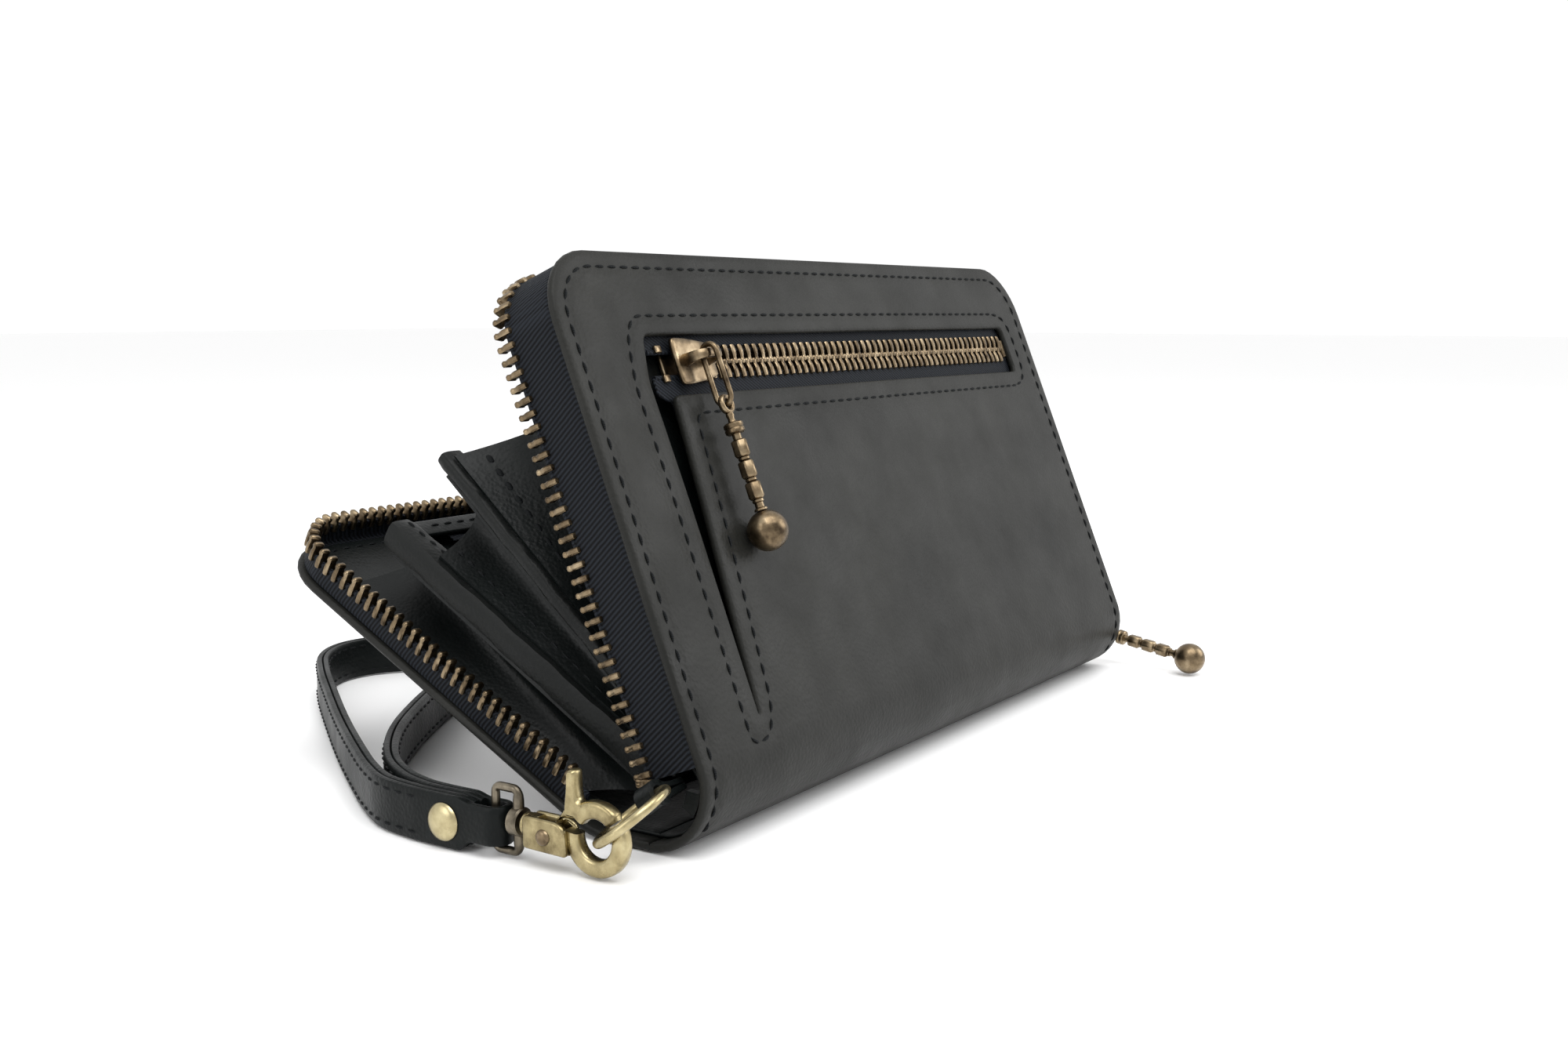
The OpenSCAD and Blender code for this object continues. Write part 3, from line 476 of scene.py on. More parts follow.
def rim_teeth(place, height, foot, band, shift):
    """Teeth round a cover's rim at the zip's pitch, counted from the top's middle."""
    shape = Shape()
    r = CORNER_R - 1.1
    top, arc = COVER_W / 2 - CORNER_R, r * math.pi / 2
    side = top + arc + height - CORNER_R - foot
    count = int(math.floor(side / PITCH - 0.5))
    for i in range(-count, count + 1):
        s = (i + shift) * PITCH
        a = abs(s)
        turn = min(max(a - top, 0) / arc, 1) * math.pi / 2
        down = max(a - top - arc, 0)
        x = COVER_W / 2 + math.copysign(1, s) * (min(a, top) + r * math.sin(turn))
        w = height - 1.1 - r * (1 - math.cos(turn)) - down
        p, ax, an, aw = basis(place, x, band, w)
        turn *= math.copysign(1, s)
        tangent = math.cos(turn) * ax - math.sin(turn) * aw
        tooth(shape, p, tangent, tangent.cross(an), an)
    return shape


# ---- materials ----

def material(name, metallic=0.0, rough=0.5, spec=0.5):
    m = bpy.data.materials.new(name)
    m.use_nodes = True
    nodes, links = m.node_tree.nodes, m.node_tree.links
    shader = nodes["Principled BSDF"]
    shader.inputs["Metallic"].default_value = metallic
    shader.inputs["Roughness"].default_value = rough
    shader.inputs["Specular IOR Level"].default_value = spec
    coords = nodes.new("ShaderNodeTexCoord").outputs["Object"]
    return m, nodes, links, shader, coords


def noise(nodes, links, coords, scale, detail=3.0, rough=0.55):
    t = nodes.new("ShaderNodeTexNoise")
    t.inputs["Scale"].default_value = scale
    t.inputs["Detail"].default_value = detail
    t.inputs["Roughness"].default_value = rough
    links.new(coords, t.inputs["Vector"])
    return t.outputs["Fac"]


def ramp(nodes, links, value, stops):
    r = nodes.new("ShaderNodeValToRGB")
    elements = r.color_ramp.elements
    while len(elements) < len(stops):
        elements.new(0.5)
    for e, (pos, colour) in zip(elements, stops):
        e.position = pos
        e.color = (*colour, 1)
    links.new(value, r.inputs["Fac"])
    return r.outputs["Color"]


def grey(v):
    return (v, v, v)


def bump(nodes, links, height, strength, depth, normal=None):
    b = nodes.new("ShaderNodeBump")
    b.inputs["Strength"].default_value = strength
    b.inputs["Distance"].default_value = depth
    links.new(height, b.inputs["Height"])
    if normal:
        links.new(normal, b.inputs["Normal"])
    return b.outputs["Normal"]


def leather(name, dark, light, rough_lo, rough_hi, cell=0.9, strength=0.35, spec=0.5):
    """Pebbled leather: cells of grain, fine pores, broad tone changes."""
    m, nodes, links, shader, coords = material(name, spec=spec)
    cells = nodes.new("ShaderNodeTexVoronoi")
    cells.feature = "SMOOTH_F1"
    cells.inputs["Scale"].default_value = 1000 / cell
    cells.inputs["Smoothness"].default_value = 0.6
    links.new(coords, cells.inputs["Vector"])
    fine = noise(nodes, links, coords, 2600, 2)
    broad = noise(nodes, links, coords, 38, 4)
    links.new(ramp(nodes, links, broad, [(0.3, dark), (0.7, light)]),
              shader.inputs["Base Color"])
    links.new(ramp(nodes, links, noise(nodes, links, coords, 90, 3),
                   [(0.3, grey(rough_lo)), (0.7, grey(rough_hi))]), shader.inputs["Roughness"])
    n = bump(nodes, links, cells.outputs["Distance"], strength, 0.00016)
    n = bump(nodes, links, fine, strength * 0.5, 0.00006, n)
    creases = noise(nodes, links, coords, 160, 4, 0.6)
    links.new(bump(nodes, links, creases, 0.25, 0.0004, n), shader.inputs["Normal"])
    return m


def twill(name, dark, light):
    """Woven tape: diagonal ribs crossed by fine yarns."""
    m, nodes, links, shader, coords = material(name, rough=0.7, spec=0.12)
    ribs = nodes.new("ShaderNodeTexWave")
    ribs.bands_direction = "DIAGONAL"
    ribs.inputs["Scale"].default_value = 560
    ribs.inputs["Distortion"].default_value = 0.6
    ribs.inputs["Detail"].default_value = 1.0
    links.new(coords, ribs.inputs["Vector"])
    yarn = nodes.new("ShaderNodeTexWave")
    yarn.bands_direction = "X"
    yarn.inputs["Scale"].default_value = 620
    links.new(coords, yarn.inputs["Vector"])
    both = nodes.new("ShaderNodeMath")
    both.operation = "MULTIPLY_ADD"
    both.inputs[1].default_value = 0.35
    links.new(yarn.outputs["Fac"], both.inputs[0])
    links.new(ribs.outputs["Fac"], both.inputs[2])
    links.new(ramp(nodes, links, both.outputs[0], [(0.1, dark), (1.0, light)]),
              shader.inputs["Base Color"])
    links.new(bump(nodes, links, both.outputs[0], 0.6, 0.00018), shader.inputs["Normal"])
    return m


def metal(name, dark, mid, bright, rough_lo, rough_hi, wear=260):
    """Aged metal: dull film in patches, rubbed brighter elsewhere, with fine scratches."""
    m, nodes, links, shader, coords = material(name, metallic=1.0)
    patch = noise(nodes, links, coords, wear, 5, 0.6)
    links.new(ramp(nodes, links, patch, [(0.28, dark), (0.5, mid), (0.75, bright)]),
              shader.inputs["Base Color"])
    links.new(ramp(nodes, links, noise(nodes, links, coords, wear * 1.7, 4),
                   [(0.3, grey(rough_lo)), (0.72, grey(rough_hi))]),
              shader.inputs["Roughness"])
    fine = noise(nodes, links, coords, 1900, 3)
    links.new(bump(nodes, links, fine, 0.12, 0.00005), shader.inputs["Normal"])
    return m


OUTER = leather("outer_leather", (0.0072, 0.0074, 0.0064), (0.0145, 0.0146, 0.0128), 0.42, 0.54,
                cell=0.8, strength=0.4, spec=0.15)
INNER = leather("inner_leather", (0.0022, 0.003, 0.003), (0.0052, 0.0068, 0.0066), 0.34, 0.46,
                cell=0.7, strength=0.35, spec=0.16)
# Darker copy of the outer leather for the divider ridges: its extra darkness is painted shade
# for their place deep inside the wallet.
RIDGE_PAINTED_SHADE = leather("ridge_leather", (0.003, 0.0036, 0.0035), (0.0075, 0.0085, 0.008), 0.36, 0.5,
                cell=0.8, strength=0.4, spec=0.14)
STRAP = leather("strap_leather", (0.0015, 0.0024, 0.0024), (0.0048, 0.0064, 0.0062), 0.38, 0.5,
                cell=0.75, strength=0.4, spec=0.13)
TWILL = twill("twill_tape", (0.001, 0.0012, 0.0018), (0.0125, 0.015, 0.0195))
BRASS = metal("antique_brass", (0.045, 0.032, 0.02), (0.17, 0.125, 0.075), (0.36, 0.285, 0.185),
              0.26, 0.42)
POLISHED = metal("polished_brass", (0.13, 0.1, 0.05), (0.33, 0.275, 0.15),
                 (0.55, 0.48, 0.29), 0.22, 0.36, wear=180)
GUNMETAL = metal("gunmetal", (0.045, 0.038, 0.028), (0.14, 0.12, 0.09), (0.27, 0.235, 0.175),
                 0.28, 0.42)


def thread_material():
    m, nodes, links, shader, coords = material("thread", rough=0.6, spec=0.12)
    ply = nodes.new("ShaderNodeTexWave")
    ply.bands_direction = "DIAGONAL"
    ply.inputs["Scale"].default_value = 1500
    links.new(coords, ply.inputs["Vector"])
    links.new(ramp(nodes, links, ply.outputs["Fac"],
                   [(0.0, (0.001, 0.0014, 0.0016)), (1.0, (0.0075, 0.009, 0.01))]),
              shader.inputs["Base Color"])
    links.new(bump(nodes, links, ply.outputs["Fac"], 0.5, 0.0001), shader.inputs["Normal"])
    return m


THREAD = thread_material()
SHARP_EDGE = 0.75


def piece(name, shape, mat, body=None, replaces=(), blend=None, slot=None):
    """Object from a shape, riding on a body, or with its transform baked in when blend is given.
    A slot name comes from its material unless another is given, but the object is not given it."""
    bm = bmesh.new()
    verts = [bm.verts.new(v) for v in shape.verts]
    for f in shape.faces:
        if len(set(f)) > 2:
            try:
                bm.faces.new([verts[i] for i in f])
            except ValueError:
                pass
    loose = [v for v in bm.verts if not v.link_faces]
    bmesh.ops.delete(bm, geom=loose, context="VERTS")
    bmesh.ops.recalc_face_normals(bm, faces=bm.faces)
    for f in bm.faces:
        f.smooth = True
    for e in bm.edges:
        if e.is_manifold and e.calc_face_angle(0) > SHARP_EDGE:
            e.smooth = False
    mesh = bpy.data.meshes.new(name)
    bm.to_mesh(mesh)
    bm.free()
    mesh.materials.append(mat)
    obj = bpy.data.objects.new(name, mesh)
    bpy.context.scene.collection.objects.link(obj)
    if blend:
        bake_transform(obj)
    elif body:
        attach(obj, body)
    # Blender adds a number to a name that the frame's own materials already use
    slot = slot or mat.name.split(".")[0]
    if replaces:
        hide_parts(*replaces)
    return obj


def part(node, suffix, shape, mat, body, slot=None):
    """Piece that stands for one CAD node."""
    return piece(f"{node}_{suffix}", shape, mat, body, (node,), slot=slot)


def sew(name, shape, body, slot):
    """Stitches as a piece; slot names the leather that they hold but is not given to the object.
    """
    return piece(name + "_stitches", shape, THREAD, body, slot=slot)


# ---- camera ----

cam_data = bpy.data.cameras.new("camera")
cam_data.lens = 37.57
cam_data.sensor_width = 36
cam_data.clip_start = 0.01
cam = bpy.data.objects.new("camera", cam_data)
right = Vector((0.5453, -0.8382, 0))
look = Vector((0.8313, 0.5408, -0.1284)).normalized()
up = right.cross(look).normalized()
cam.matrix_world = Matrix(((right.x, up.x, -look.x, -0.3041), (right.y, up.y, -look.y, -0.1703),
                           (right.z, up.z, -look.z, 0.09124), (0, 0, 0, 1)))
bpy.context.scene.collection.objects.link(cam)
bpy.context.scene.camera = cam

# ---- outer leather ----


def crown(x, w):
    """Soft fullness of the front cover, outwards, none at its edges."""
    a = clamp(x / COVER_W)
    b = clamp((w - 20) / 88)
    full = math.sin(math.pi * a) ** 0.7 * math.sin(math.pi * b) ** 0.8
    wave = 0.18 * math.sin(x * 0.09 + 0.6) * math.sin(w * 0.11 + 1.1)
    return -full * (0.65 + wave)


def back_crown(x, w):
    a = clamp(x / COVER_W)
    b = clamp((w - 8) / 80)
    return -0.5 * math.sin(math.pi * a) ** 0.7 * math.sin(math.pi * b) ** 0.8


WINDOW = rounded([(20, 22), (19.6, 85), (22, 93.6), (169.5, 93.6), (169.5, 82), (25.5, 82)], 1.6)
window_seam = [(15.6, 18), (15.2, 84), (17.4, 93.5), (20.5, 97.4), (168, 97.4), (172.6, 96),
               (174, 92), (174, 83), (172.4, 79.6), (168, 78.2), (29.8, 78.2), (24.4, 24),
               (21.5, 18.4), (15.6, 18)]
window_seam = rounded(window_seam[:-1], 2.5)
window_seam = [tuple(p) for p in window_seam] + [tuple(window_seam[0])]
edge_seam = rim_path(COVER_H, 4.0, 3.2)

piece("front_cover_leather", panel(front, outline(COVER_H, SPINE_FOOT, 0), [WINDOW], t=LEATHER_T,
                                   edge=0.55, step=4.5, bulge=crown, grooves=[edge_seam,
                                                                              window_seam]),
      OUTER, "front_shell", ("front_panel", "spine_leather"))
thread = stitches(front, edge_seam, 0.12, bulge=crown)
stitches(front, window_seam, 0.12, bulge=crown, shape=thread)
sew("front_cover", thread, "front_shell", "outer_leather")

back_cover = panel(back, outline(BACK_H, HEEL_FOOT, 0), t=LEATHER_T, edge=0.55, step=4.5,
                   bulge=back_crown, grooves=[rim_path(BACK_H, 6.0, 3.2)])
HINGE_START, HINGE_END = (0, SPINE_Y0 * MM, 0), (0, SPINE_Y1 * MM, 0)
piece("back_cover_leather", back_cover, OUTER, replaces=("spine_fold", "heel_leather",
                                                         "back_panel"), blend=("front_shell",
                                                                               "back_shell",
                                                                               HINGE_START,
                                                                               HINGE_END))
sew("back_cover", stitches(back, rim_path(BACK_H, 6.0, 3.2), 0.12, bulge=back_crown),
    "back_shell", "outer_leather")

# ---- linings ----


def lining_front(x, n, w):
    """Lining that leaves the spine's leather and rises to the pocket's back."""
    t = ease((w - 6) / 16)
    return front(x, n + 1.65 + (4.4 - 1.65) * t, w)


def lining_back(x, n, w):
    """Lining that rises from the heel's leather over the sewn tape."""
    return back(x, n + (2.2 if w > 7 else 1.65 + 0.55 * max(0, (w + 2) / 9)), w)


def lining_wave(x, w):
    return 0.25 * math.sin(x * 0.12) * math.sin(w * 0.1) if 30 < w < 100 else 0.0


piece("front_lining_leather", panel(lining_front, outline(COVER_H, SPINE_FOOT, 3), t=0.8,
                                    edge=0.35, step=6, bulge=lining_wave), INNER, "front_shell",
      ("front_lining", "spine_lining"))
piece("back_lining_leather", panel(lining_back, outline(BACK_H, HEEL_FOOT, 3), t=0.8, edge=0.35,
                                   step=6), INNER, replaces=("back_lining",),
      blend=("front_shell", "back_shell", HINGE_START, HINGE_END))
sew("lining", stitches(lining_front, rim_path(COVER_H, 24, 5), 0.7, sign=1), "front_shell",
    "inner_leather")
sew("back_lining", stitches(back, rim_path(BACK_H, 12, 5), 3.0, sign=1), "back_shell",
    "inner_leather")
for name, low, high in (("card_panel_lower", 26, 58), ("card_panel_upper", 58.6, 78)):
    part(name, "leather", panel(front, box_outline(14, low, 169, high, 2.5), t=0.7, n0=5.2,
                                edge=0.3, step=7), INNER, "front_shell")
    seam = [(16, high - 2), (16, low + 2), (167, low + 2), (167, high - 2)]
    sew(name, stitches(front, seam, 5.9, sign=1, r=0.22), "front_shell", "inner_leather")

# ---- zip tapes and teeth ----


def tape_section(band):
    return [(8.8, 1.62), (1.7, 1.62), (1.0, 1.9), (0.8, 2.6), (0.8, band - 0.35),
            (0.62, band - 0.2), (0.62, band + 0.35), (1.1, band + 0.6), (1.58, band + 0.35),
            (1.58, band - 0.2), (1.4, band - 0.35), (1.4, 2.9), (1.75, 2.3), (2.6, 2.2),
            (8.8, 2.2)]


front_tape = rim_sweep(front, tape_section(12.2), COVER_H, FLAT_F + 0.2)
for x in (0.8, 181.6):
    strip = [[front(x + a, 10.95 + b, w) for a, b in
              ((0, 0), (0.6, 0), (0.6, 1.1), (0.3, 1.3), (0, 1.1))]
             for w in np.linspace(10.4, 18.3, 6)]
    front_tape.loft(strip)
part("front_zip_tape", "twill", front_tape, TWILL, "front_shell")
part("front_zip_teeth", "cast", rim_teeth(front, COVER_H, 11.0, 12.2, 0), BRASS, "front_shell")
part("back_zip_tape", "twill", rim_sweep(back, tape_section(6.075), BACK_H, FLAT_B + 0.2), TWILL,
     "back_shell")
part("back_zip_teeth", "cast", rim_teeth(back, BACK_H, 6.0, 6.075, 0.5), BRASS, "back_shell")

for name, w0, w1, bead in (("pocket_tape_upper", 90.8, 100.8, 90.9),
                           ("pocket_tape_lower", 76.0, 86.0, 85.9)):
    plan = box_outline(23, w0, 171.5, w1, 0.8) if w0 > ZIP_W else rounded(
        [(26.6, w0), (171.5, w0), (171.5, w1), (23, w1), (23, 82.6), (26.6, 81.0)], 0.6)
    shape = panel(front, plan, t=TAPE_T, n0=1.62, edge=0.25, step=8)
    shape.tube([front(x, 1.9, bead) for x in np.linspace(23.5, 171, 60)], 0.5,
               basis(front, 50, 1.9, bead)[2])
    part(name, "twill", shape, TWILL, "front_shell")
for name, x0, side in (("pocket_teeth_upper", 167.5, 1), ("pocket_teeth_lower", 166.25, -1)):
    shape = Shape()
    for i in range(51):
        p, ax, an, aw = basis(front, x0 - i * PITCH, 1.9, ZIP_W + side * CHAIN_HALF)
        tooth(shape, p, ax, an, -side * aw)
    part(name, "cast", shape, BRASS, "front_shell")
shape = panel(front, box_outline(168.1, 86.1, 169.4, 90.7, 0.4), t=2.2, n0=0.8, edge=0.25,
              step=3, loop_step=1)
for w in (86.0 - 1.2, 90.8 - 0.3):
    panel(front, box_outline(25.4, w, 27.2, w + 1.5, 0.4), t=0.8, n0=0.8, edge=0.2, step=3,
          loop_step=0.6, shape=shape)
part("pocket_zip_stops", "cast", shape, BRASS, "front_shell")

# ---- sliders ----


def slider(place, both=True):
    """Two shield plates joined by side flanges, with an arched bridge over the top one."""
    half, top = CHAIN_HALF + 1.7, 1.3
    far = half + 0.5 if both else CHAIN_HALF + 0.2
    left = [(-5.75, -half - 0.45), (-4.0, -half - 0.5), (-1.6, -half - 0.35), (1.2, -half),
            (4.6, -half + 0.55), (5.75, -half + 0.9)]
    if both:
        right_side = [(5.75, half - 0.9), (4.6, half - 0.55), (1.2, half), (-1.6, half + 0.35),
                      (-4.0, half + 0.5), (-5.75, half + 0.45)]
    else:
        right_side = [(5.75, far), (-5.75, far)]

    def plate(x, n, w):
        return place(x, w, n)
    shape = Shape()
    nose = [(-6.0, far * 0.5), (-6.0, -half * 0.5)] if both else []
    plan = rounded(left + right_side + nose, 0.8, 3)
    for z in (top, -top - 1):
        panel(plate, plan, t=1.0, n0=z, edge=0.38, step=2.2, loop_step=1, shape=shape)
    inner = CHAIN_HALF + 1.18
    for z0 in (0.45, -top - 0.05):
        for y in ((inner, -inner - 0.4) if both else (-inner - 0.4,)):
            panel(plate, box_outline(-1, y, 3.6, y + 0.4, 0.1), t=top - 0.4, n0=z0, edge=0.1,
                  step=4, loop_step=2, shape=shape)
    path = [(-3.3, 1.9), (-3.35, 3.8), (-3.0, 5.3), (-2.0, 6.0), (0.2, 6.1), (2.2, 6.0),
            (3.0, 5.3), (3.35, 3.8), (3.3, 1.9)]
    rings = []
    pts = np.array(densify(path, 0.7, False))
    tangent = np.gradient(pts, axis=0)
    tangent /= np.linalg.norm(tangent, axis=1, keepdims=True)
    for k, (p, t) in enumerate(zip(pts, tangent)):
        u = abs(k / (len(pts) - 1) * 2 - 1)
        wide, thick = 0.85 + 0.5 * u ** 2, 0.6
        ring = []
        for a in turns(12):
            ca, sa = math.cos(a), math.sin(a)
            q = math.copysign(abs(ca) ** 0.6, ca) * wide
            h = math.copysign(abs(sa) ** 0.6, sa) * thick
            ring.append(place(p[0] - t[1] * h, q, p[1] + t[0] * h))
        rings.append(ring)
    return shape.loft(rings)


def wire_loop(place, length=LOOP_L, r=LOOP_R, wire=1.1):
    """Closed stadium of wire; its near end goes round the origin, and it lies across x."""
    path = []
    for k in range(13):
        a = math.pi * k / 12
        path.append(place(0, r * math.sin(a), r * math.cos(a)))
    path += [place(0, -length * k / 8, -r) for k in range(1, 8)]
    for k in range(13):
        a = math.pi * k / 12
        path.append(place(0, -length - r * math.sin(a), -r * math.cos(a)))
    path += [place(0, -length * (1 - k / 8), r) for k in range(1, 8)]
    normal = (place(1, 0, 0) - place(0, 0, 0)).normalized()
    return Shape().tube(path, wire / 2, normal, closed=True)


def pendant(place, length=PENDANT_L, ball=PENDANT_BALL):
    """Eye, neck, collar, three faceted beads and a ball, hung down -y."""
    shape = Shape()
    rings = []
    for a in turns(36):
        c, s = math.cos(a), math.sin(a)
        rings.append([place((1.47 + 0.53 * math.cos(b)) * c, (1.47 + 0.53 * math.cos(b)) * s,
                            0.68 * math.sin(b)) for b in turns(12)])
    shape.loft(rings, True)
    shape.lathe(place, [(0.72, 1.6), (0.8, 2.2), (0.62, 2.9), (0.8, 3.5), (1.5, 3.6),
                        (1.85, 3.85), (1.9, 4.4), (1.72, 4.65), (1.9, 4.9), (1.85, 5.5),
                        (1.5, 5.78), (0.85, 5.85), (0.85, 6.9)], 28)
    for i in range(3):
        h = 6.9 + i * 4.1
        shape.lathe(place, [(0.85, h), (1.35, h + 0.1), (1.6, h + 0.35), (1.64, h + 2.9),
                            (1.35, h + 3.3), (0.85, h + 3.45)], 24, 6, 0.13)
        shape.lathe(place, [(0.84, h + 3.35), (1.1, h + 3.5), (1.1, h + 3.9),
                            (0.84, h + 4.1)], 20)
    r = ball / 2
    shape.lathe(place, [(0.84, 18.9), (0.9, length - r - 0.6), (1.25, length - r - 0.35),
                        (1.3, length - r)], 24)
    shape.lathe(place, dome(r, length - r, length + r, 20), 40)
    return shape


def at_pocket_pull(x, y, z):
    return pocket_slider_at(x - 0.7, y, z + BRIDGE_UP)


def at_pocket_pendant(x, y, z):
    return at_pocket_pull(x, y - 10.15, z)


def at_main_loop(x, y, z):
    return main_pull_at(x, y + 0.7, z)


part("pocket_slider", "cast", slider(pocket_slider_at), BRASS, "pocket_slider")
piece("pocket_pull_loop", wire_loop(at_pocket_pull), BRASS, "pocket_pull_wire",
      ("pocket_pull_wire",))
part("pocket_pendant", "beads", pendant(at_pocket_pendant), BRASS, "pocket_pendant")
part("main_slider", "cast", slider(main_slider_at, False), BRASS, "main_slider")
piece("main_pull_loop", wire_loop(at_main_loop), BRASS, "main_pull_wire", ("main_pull_wire",))

eye_l = LOOP_L + LOOP_R - 0.7
beam = front(181.9, 14.6, MAIN_SLIDE_W) / MM
eye = Vector((COVER_W / 2 - 1.1 + 6, beam.y - eye_l * math.cos(PULL_DROOP - LEAN_F),
              beam.z - eye_l * math.sin(PULL_DROOP - LEAN_F)))
dip = math.asin((eye.z - PENDANT_BALL / 2 - 0.05) / PENDANT_L)
main_turn = (Matrix.Translation(eye) @ Matrix.Rotation(math.radians(-9), 4, "Z")
             @ Matrix.Rotation(dip, 4, "X") @ Matrix.Rotation(math.pi / 2, 4, "Y"))


def at_main_pendant(x, y, z):
    return (main_turn @ Vector((x, y, z))) * MM


part("main_pendant", "beads", pendant(at_main_pendant), BRASS, "main_pendant")

# ---- dividers ----


def sway(x, w):
    return 0.35 * math.sin(x * 0.05 + 1.0) * math.sin(w * 0.045)


part("divider_panel", "leather", panel(divider_1, box_outline(5.9, -5, 177.1, 71.1, 3), t=1.6,
                                       n0=-0.8, edge=0.5, step=6, bulge=sway), INNER,
     "front_divider")
sew("divider", stitches(divider_1, [(12, 69), (171, 69)], -0.8, bulge=sway), "front_divider",
    "inner_leather")
part("coin_back_panel", "leather", panel(divider_2, box_outline(5.9, -5, 177.1, 71, 3), t=1.1,
                                         n0=1.0, edge=0.4, step=6), INNER, "coin_divider")
part("coin_front_panel", "leather", panel(divider_2, box_outline(5.9, -5, 177.1, 60.5, 1), t=1.1,
                                          n0=-2.1, edge=0.4, step=6), INNER, "coin_divider")
shape = panel(divider_2, box_outline(5.9, 66.5, 177.1, 71, 1), t=1.1, n0=-2.1, edge=0.4,
              step=5)
panel(divider_2, box_outline(6.9, 67.9, 176.1, 69.9, 0.5), t=2.0, n0=-1.0, edge=0.2, step=8,
      shape=shape)
part("coin_top_band", "leather", shape, INNER, "coin_divider")
shape = stitches(divider_2, [(12, 58.6), (171, 58.6)], -2.1)
stitches(divider_2, [(12, 69), (171, 69)], -2.1, shape=shape)
sew("coin_pocket", shape, "coin_divider", "inner_leather")


def ridge(place, height, half, flip):
    """Leather folded round a divider's end, with its two stitched legs."""
    def at(x, n, w):
        wobble = 0.12 * math.sin(w * 0.37 + 1) + 0.08 * math.sin(w * 0.9)
        return place(COVER_W - x if flip else x, n + (wobble if abs(n) > half else 0), w)
    h = half + 0.7
    section = [(9.1, -h + 0.15), (8.7, -h), (7.0, -h - 0.05), (5.2, -h), (4.3, -h + 0.25),
               (3.95, -h * 0.5), (3.9, 0), (3.95, h * 0.5), (4.3, h - 0.25), (5.2, h),
               (7.0, h + 0.05), (8.7, h), (9.1, h - 0.15), (9.1, half + 0.05),
               (5.85, half + 0.02), (5.85, -half - 0.02), (9.1, -half - 0.05)]
    rings = []
    for k, s in enumerate(np.linspace(-1.5, height, 40)):
        end = max(0.0, 1 - (height - s) / 0.8) * 0.3
        rings.append([at(x + (end if x < 6 else -end), n * (1 - end * 0.3), s)
                      for x, n in section])
    shape = Shape().loft(rings)
    thread_shape = Shape()
    for side in (-1, 1):
        stitches(at, [(7.6, 0.5), (7.6, height - 0.5)], side * (h + 0.02), sign=side,
                 length=2.3, gap=0.8, r=0.25, shape=thread_shape)
    return shape, thread_shape


for name, place, height, half, flip, body in (
        ("divider_ridge_left", divider_1, 71.6, 0.8, False, "front_divider"),
        ("divider_ridge_right", divider_1, 71.6, 0.8, True, "front_divider"),
        ("coin_ridge_left", divider_2, 71.5, 2.1, False, "coin_divider"),
        ("coin_ridge_right", divider_2, 71.5, 2.1, True, "coin_divider")):
    shape, thread = ridge(place, height, half, flip)
    # The ridges are outer leather, drawn with its darker copy, which paints shade onto them.
    part(name, "leather", shape, RIDGE_PAINTED_SHADE, body, slot="outer_leather")
    sew(name, thread, body, "outer_leather")

# ---- coin zip ----

shape = Shape()
for w0 in (64.94, 59.26):
    panel(divider_2, box_outline(16, w0, 177, w0 + 2.8, 0.4), t=0.36, n0=COIN_MID - 0.18,
          edge=0.15, step=8, shape=shape)
part("coin_zip_tapes", "twill", shape, TWILL, "coin_divider")
for name, x0, side in (("coin_teeth_upper", 167.0, 1), ("coin_teeth_lower", 166.25, -1)):
    shape = Shape()
    for i in range(89):
        p, ax, am, aw = basis(divider_2, x0 - i * PITCH * COIN_SCALE, COIN_MID,
                              COIN_ZIP + side * CHAIN_HALF * COIN_SCALE)
        tooth(shape, p, ax, am, -side * aw, COIN_SCALE)
    part(name, "cast", shape, BRASS, "coin_divider")
part("coin_slider", "cast", slider(coin_slider_at), BRASS, "coin_slider")


def coin_pull_at(x, y, z):
    return coin_slider_at(x - 0.7, y, z + BRIDGE_UP)


shape = wire_loop(coin_pull_at)
panel(lambda x, n, w: coin_pull_at(n, w - 10.15, x), box_outline(-1.9, -14.5, 1.9, -0.3, 1.2),
      t=1.5, n0=-0.75, edge=0.4, step=2.5, loop_step=1, shape=shape)
part("coin_pull", "leaf", shape, BRASS, "coin_pull")

# ---- bellows ----


def fold(a, b, low, high, inward, t):
    """A pleat's two edges and the control point of its fold between them, at height t."""
    p, q = a(t), b(t)
    depth = (low + (high - low) * t) * 2
    return p, q, (p + q) / 2 + Vector((inward * depth * MM, 0, 0))


def on_fold(p, q, mid, up_v, u):
    """Point and normal at u from edge p to edge q."""
    d = 2 * (1 - u) * (mid - p) + 2 * u * (q - mid)
    return (1 - u) ** 2 * p + 2 * u * (1 - u) * mid + u * u * q, d.cross(up_v).normalized()


def pleat(a, b, low, high, inward):
    """Folded leather between lines a(t) and b(t), its fold deeper at the top."""
    rings = []
    for t in np.linspace(0, 1, 18).tolist():
        p, q, mid = fold(a, b, low, high, inward, t)
        up_v = (a(min(t + 0.02, 1)) - a(t - 0.02 if t else 0)).normalized()
        sheet = [on_fold(p, q, mid, up_v, u) for u in np.linspace(0, 1, 15).tolist()]
        ripple = 0.25 * math.sin(t * 9)
        faces = [[pt + nv * (half + ripple * math.sin(math.pi * k / 14)) * MM
                  for k, (pt, nv) in enumerate(sheet)] for half in (0.42, -0.42)]
        rings.append(faces[0] + faces[1][::-1])
    return Shape().loft(rings)


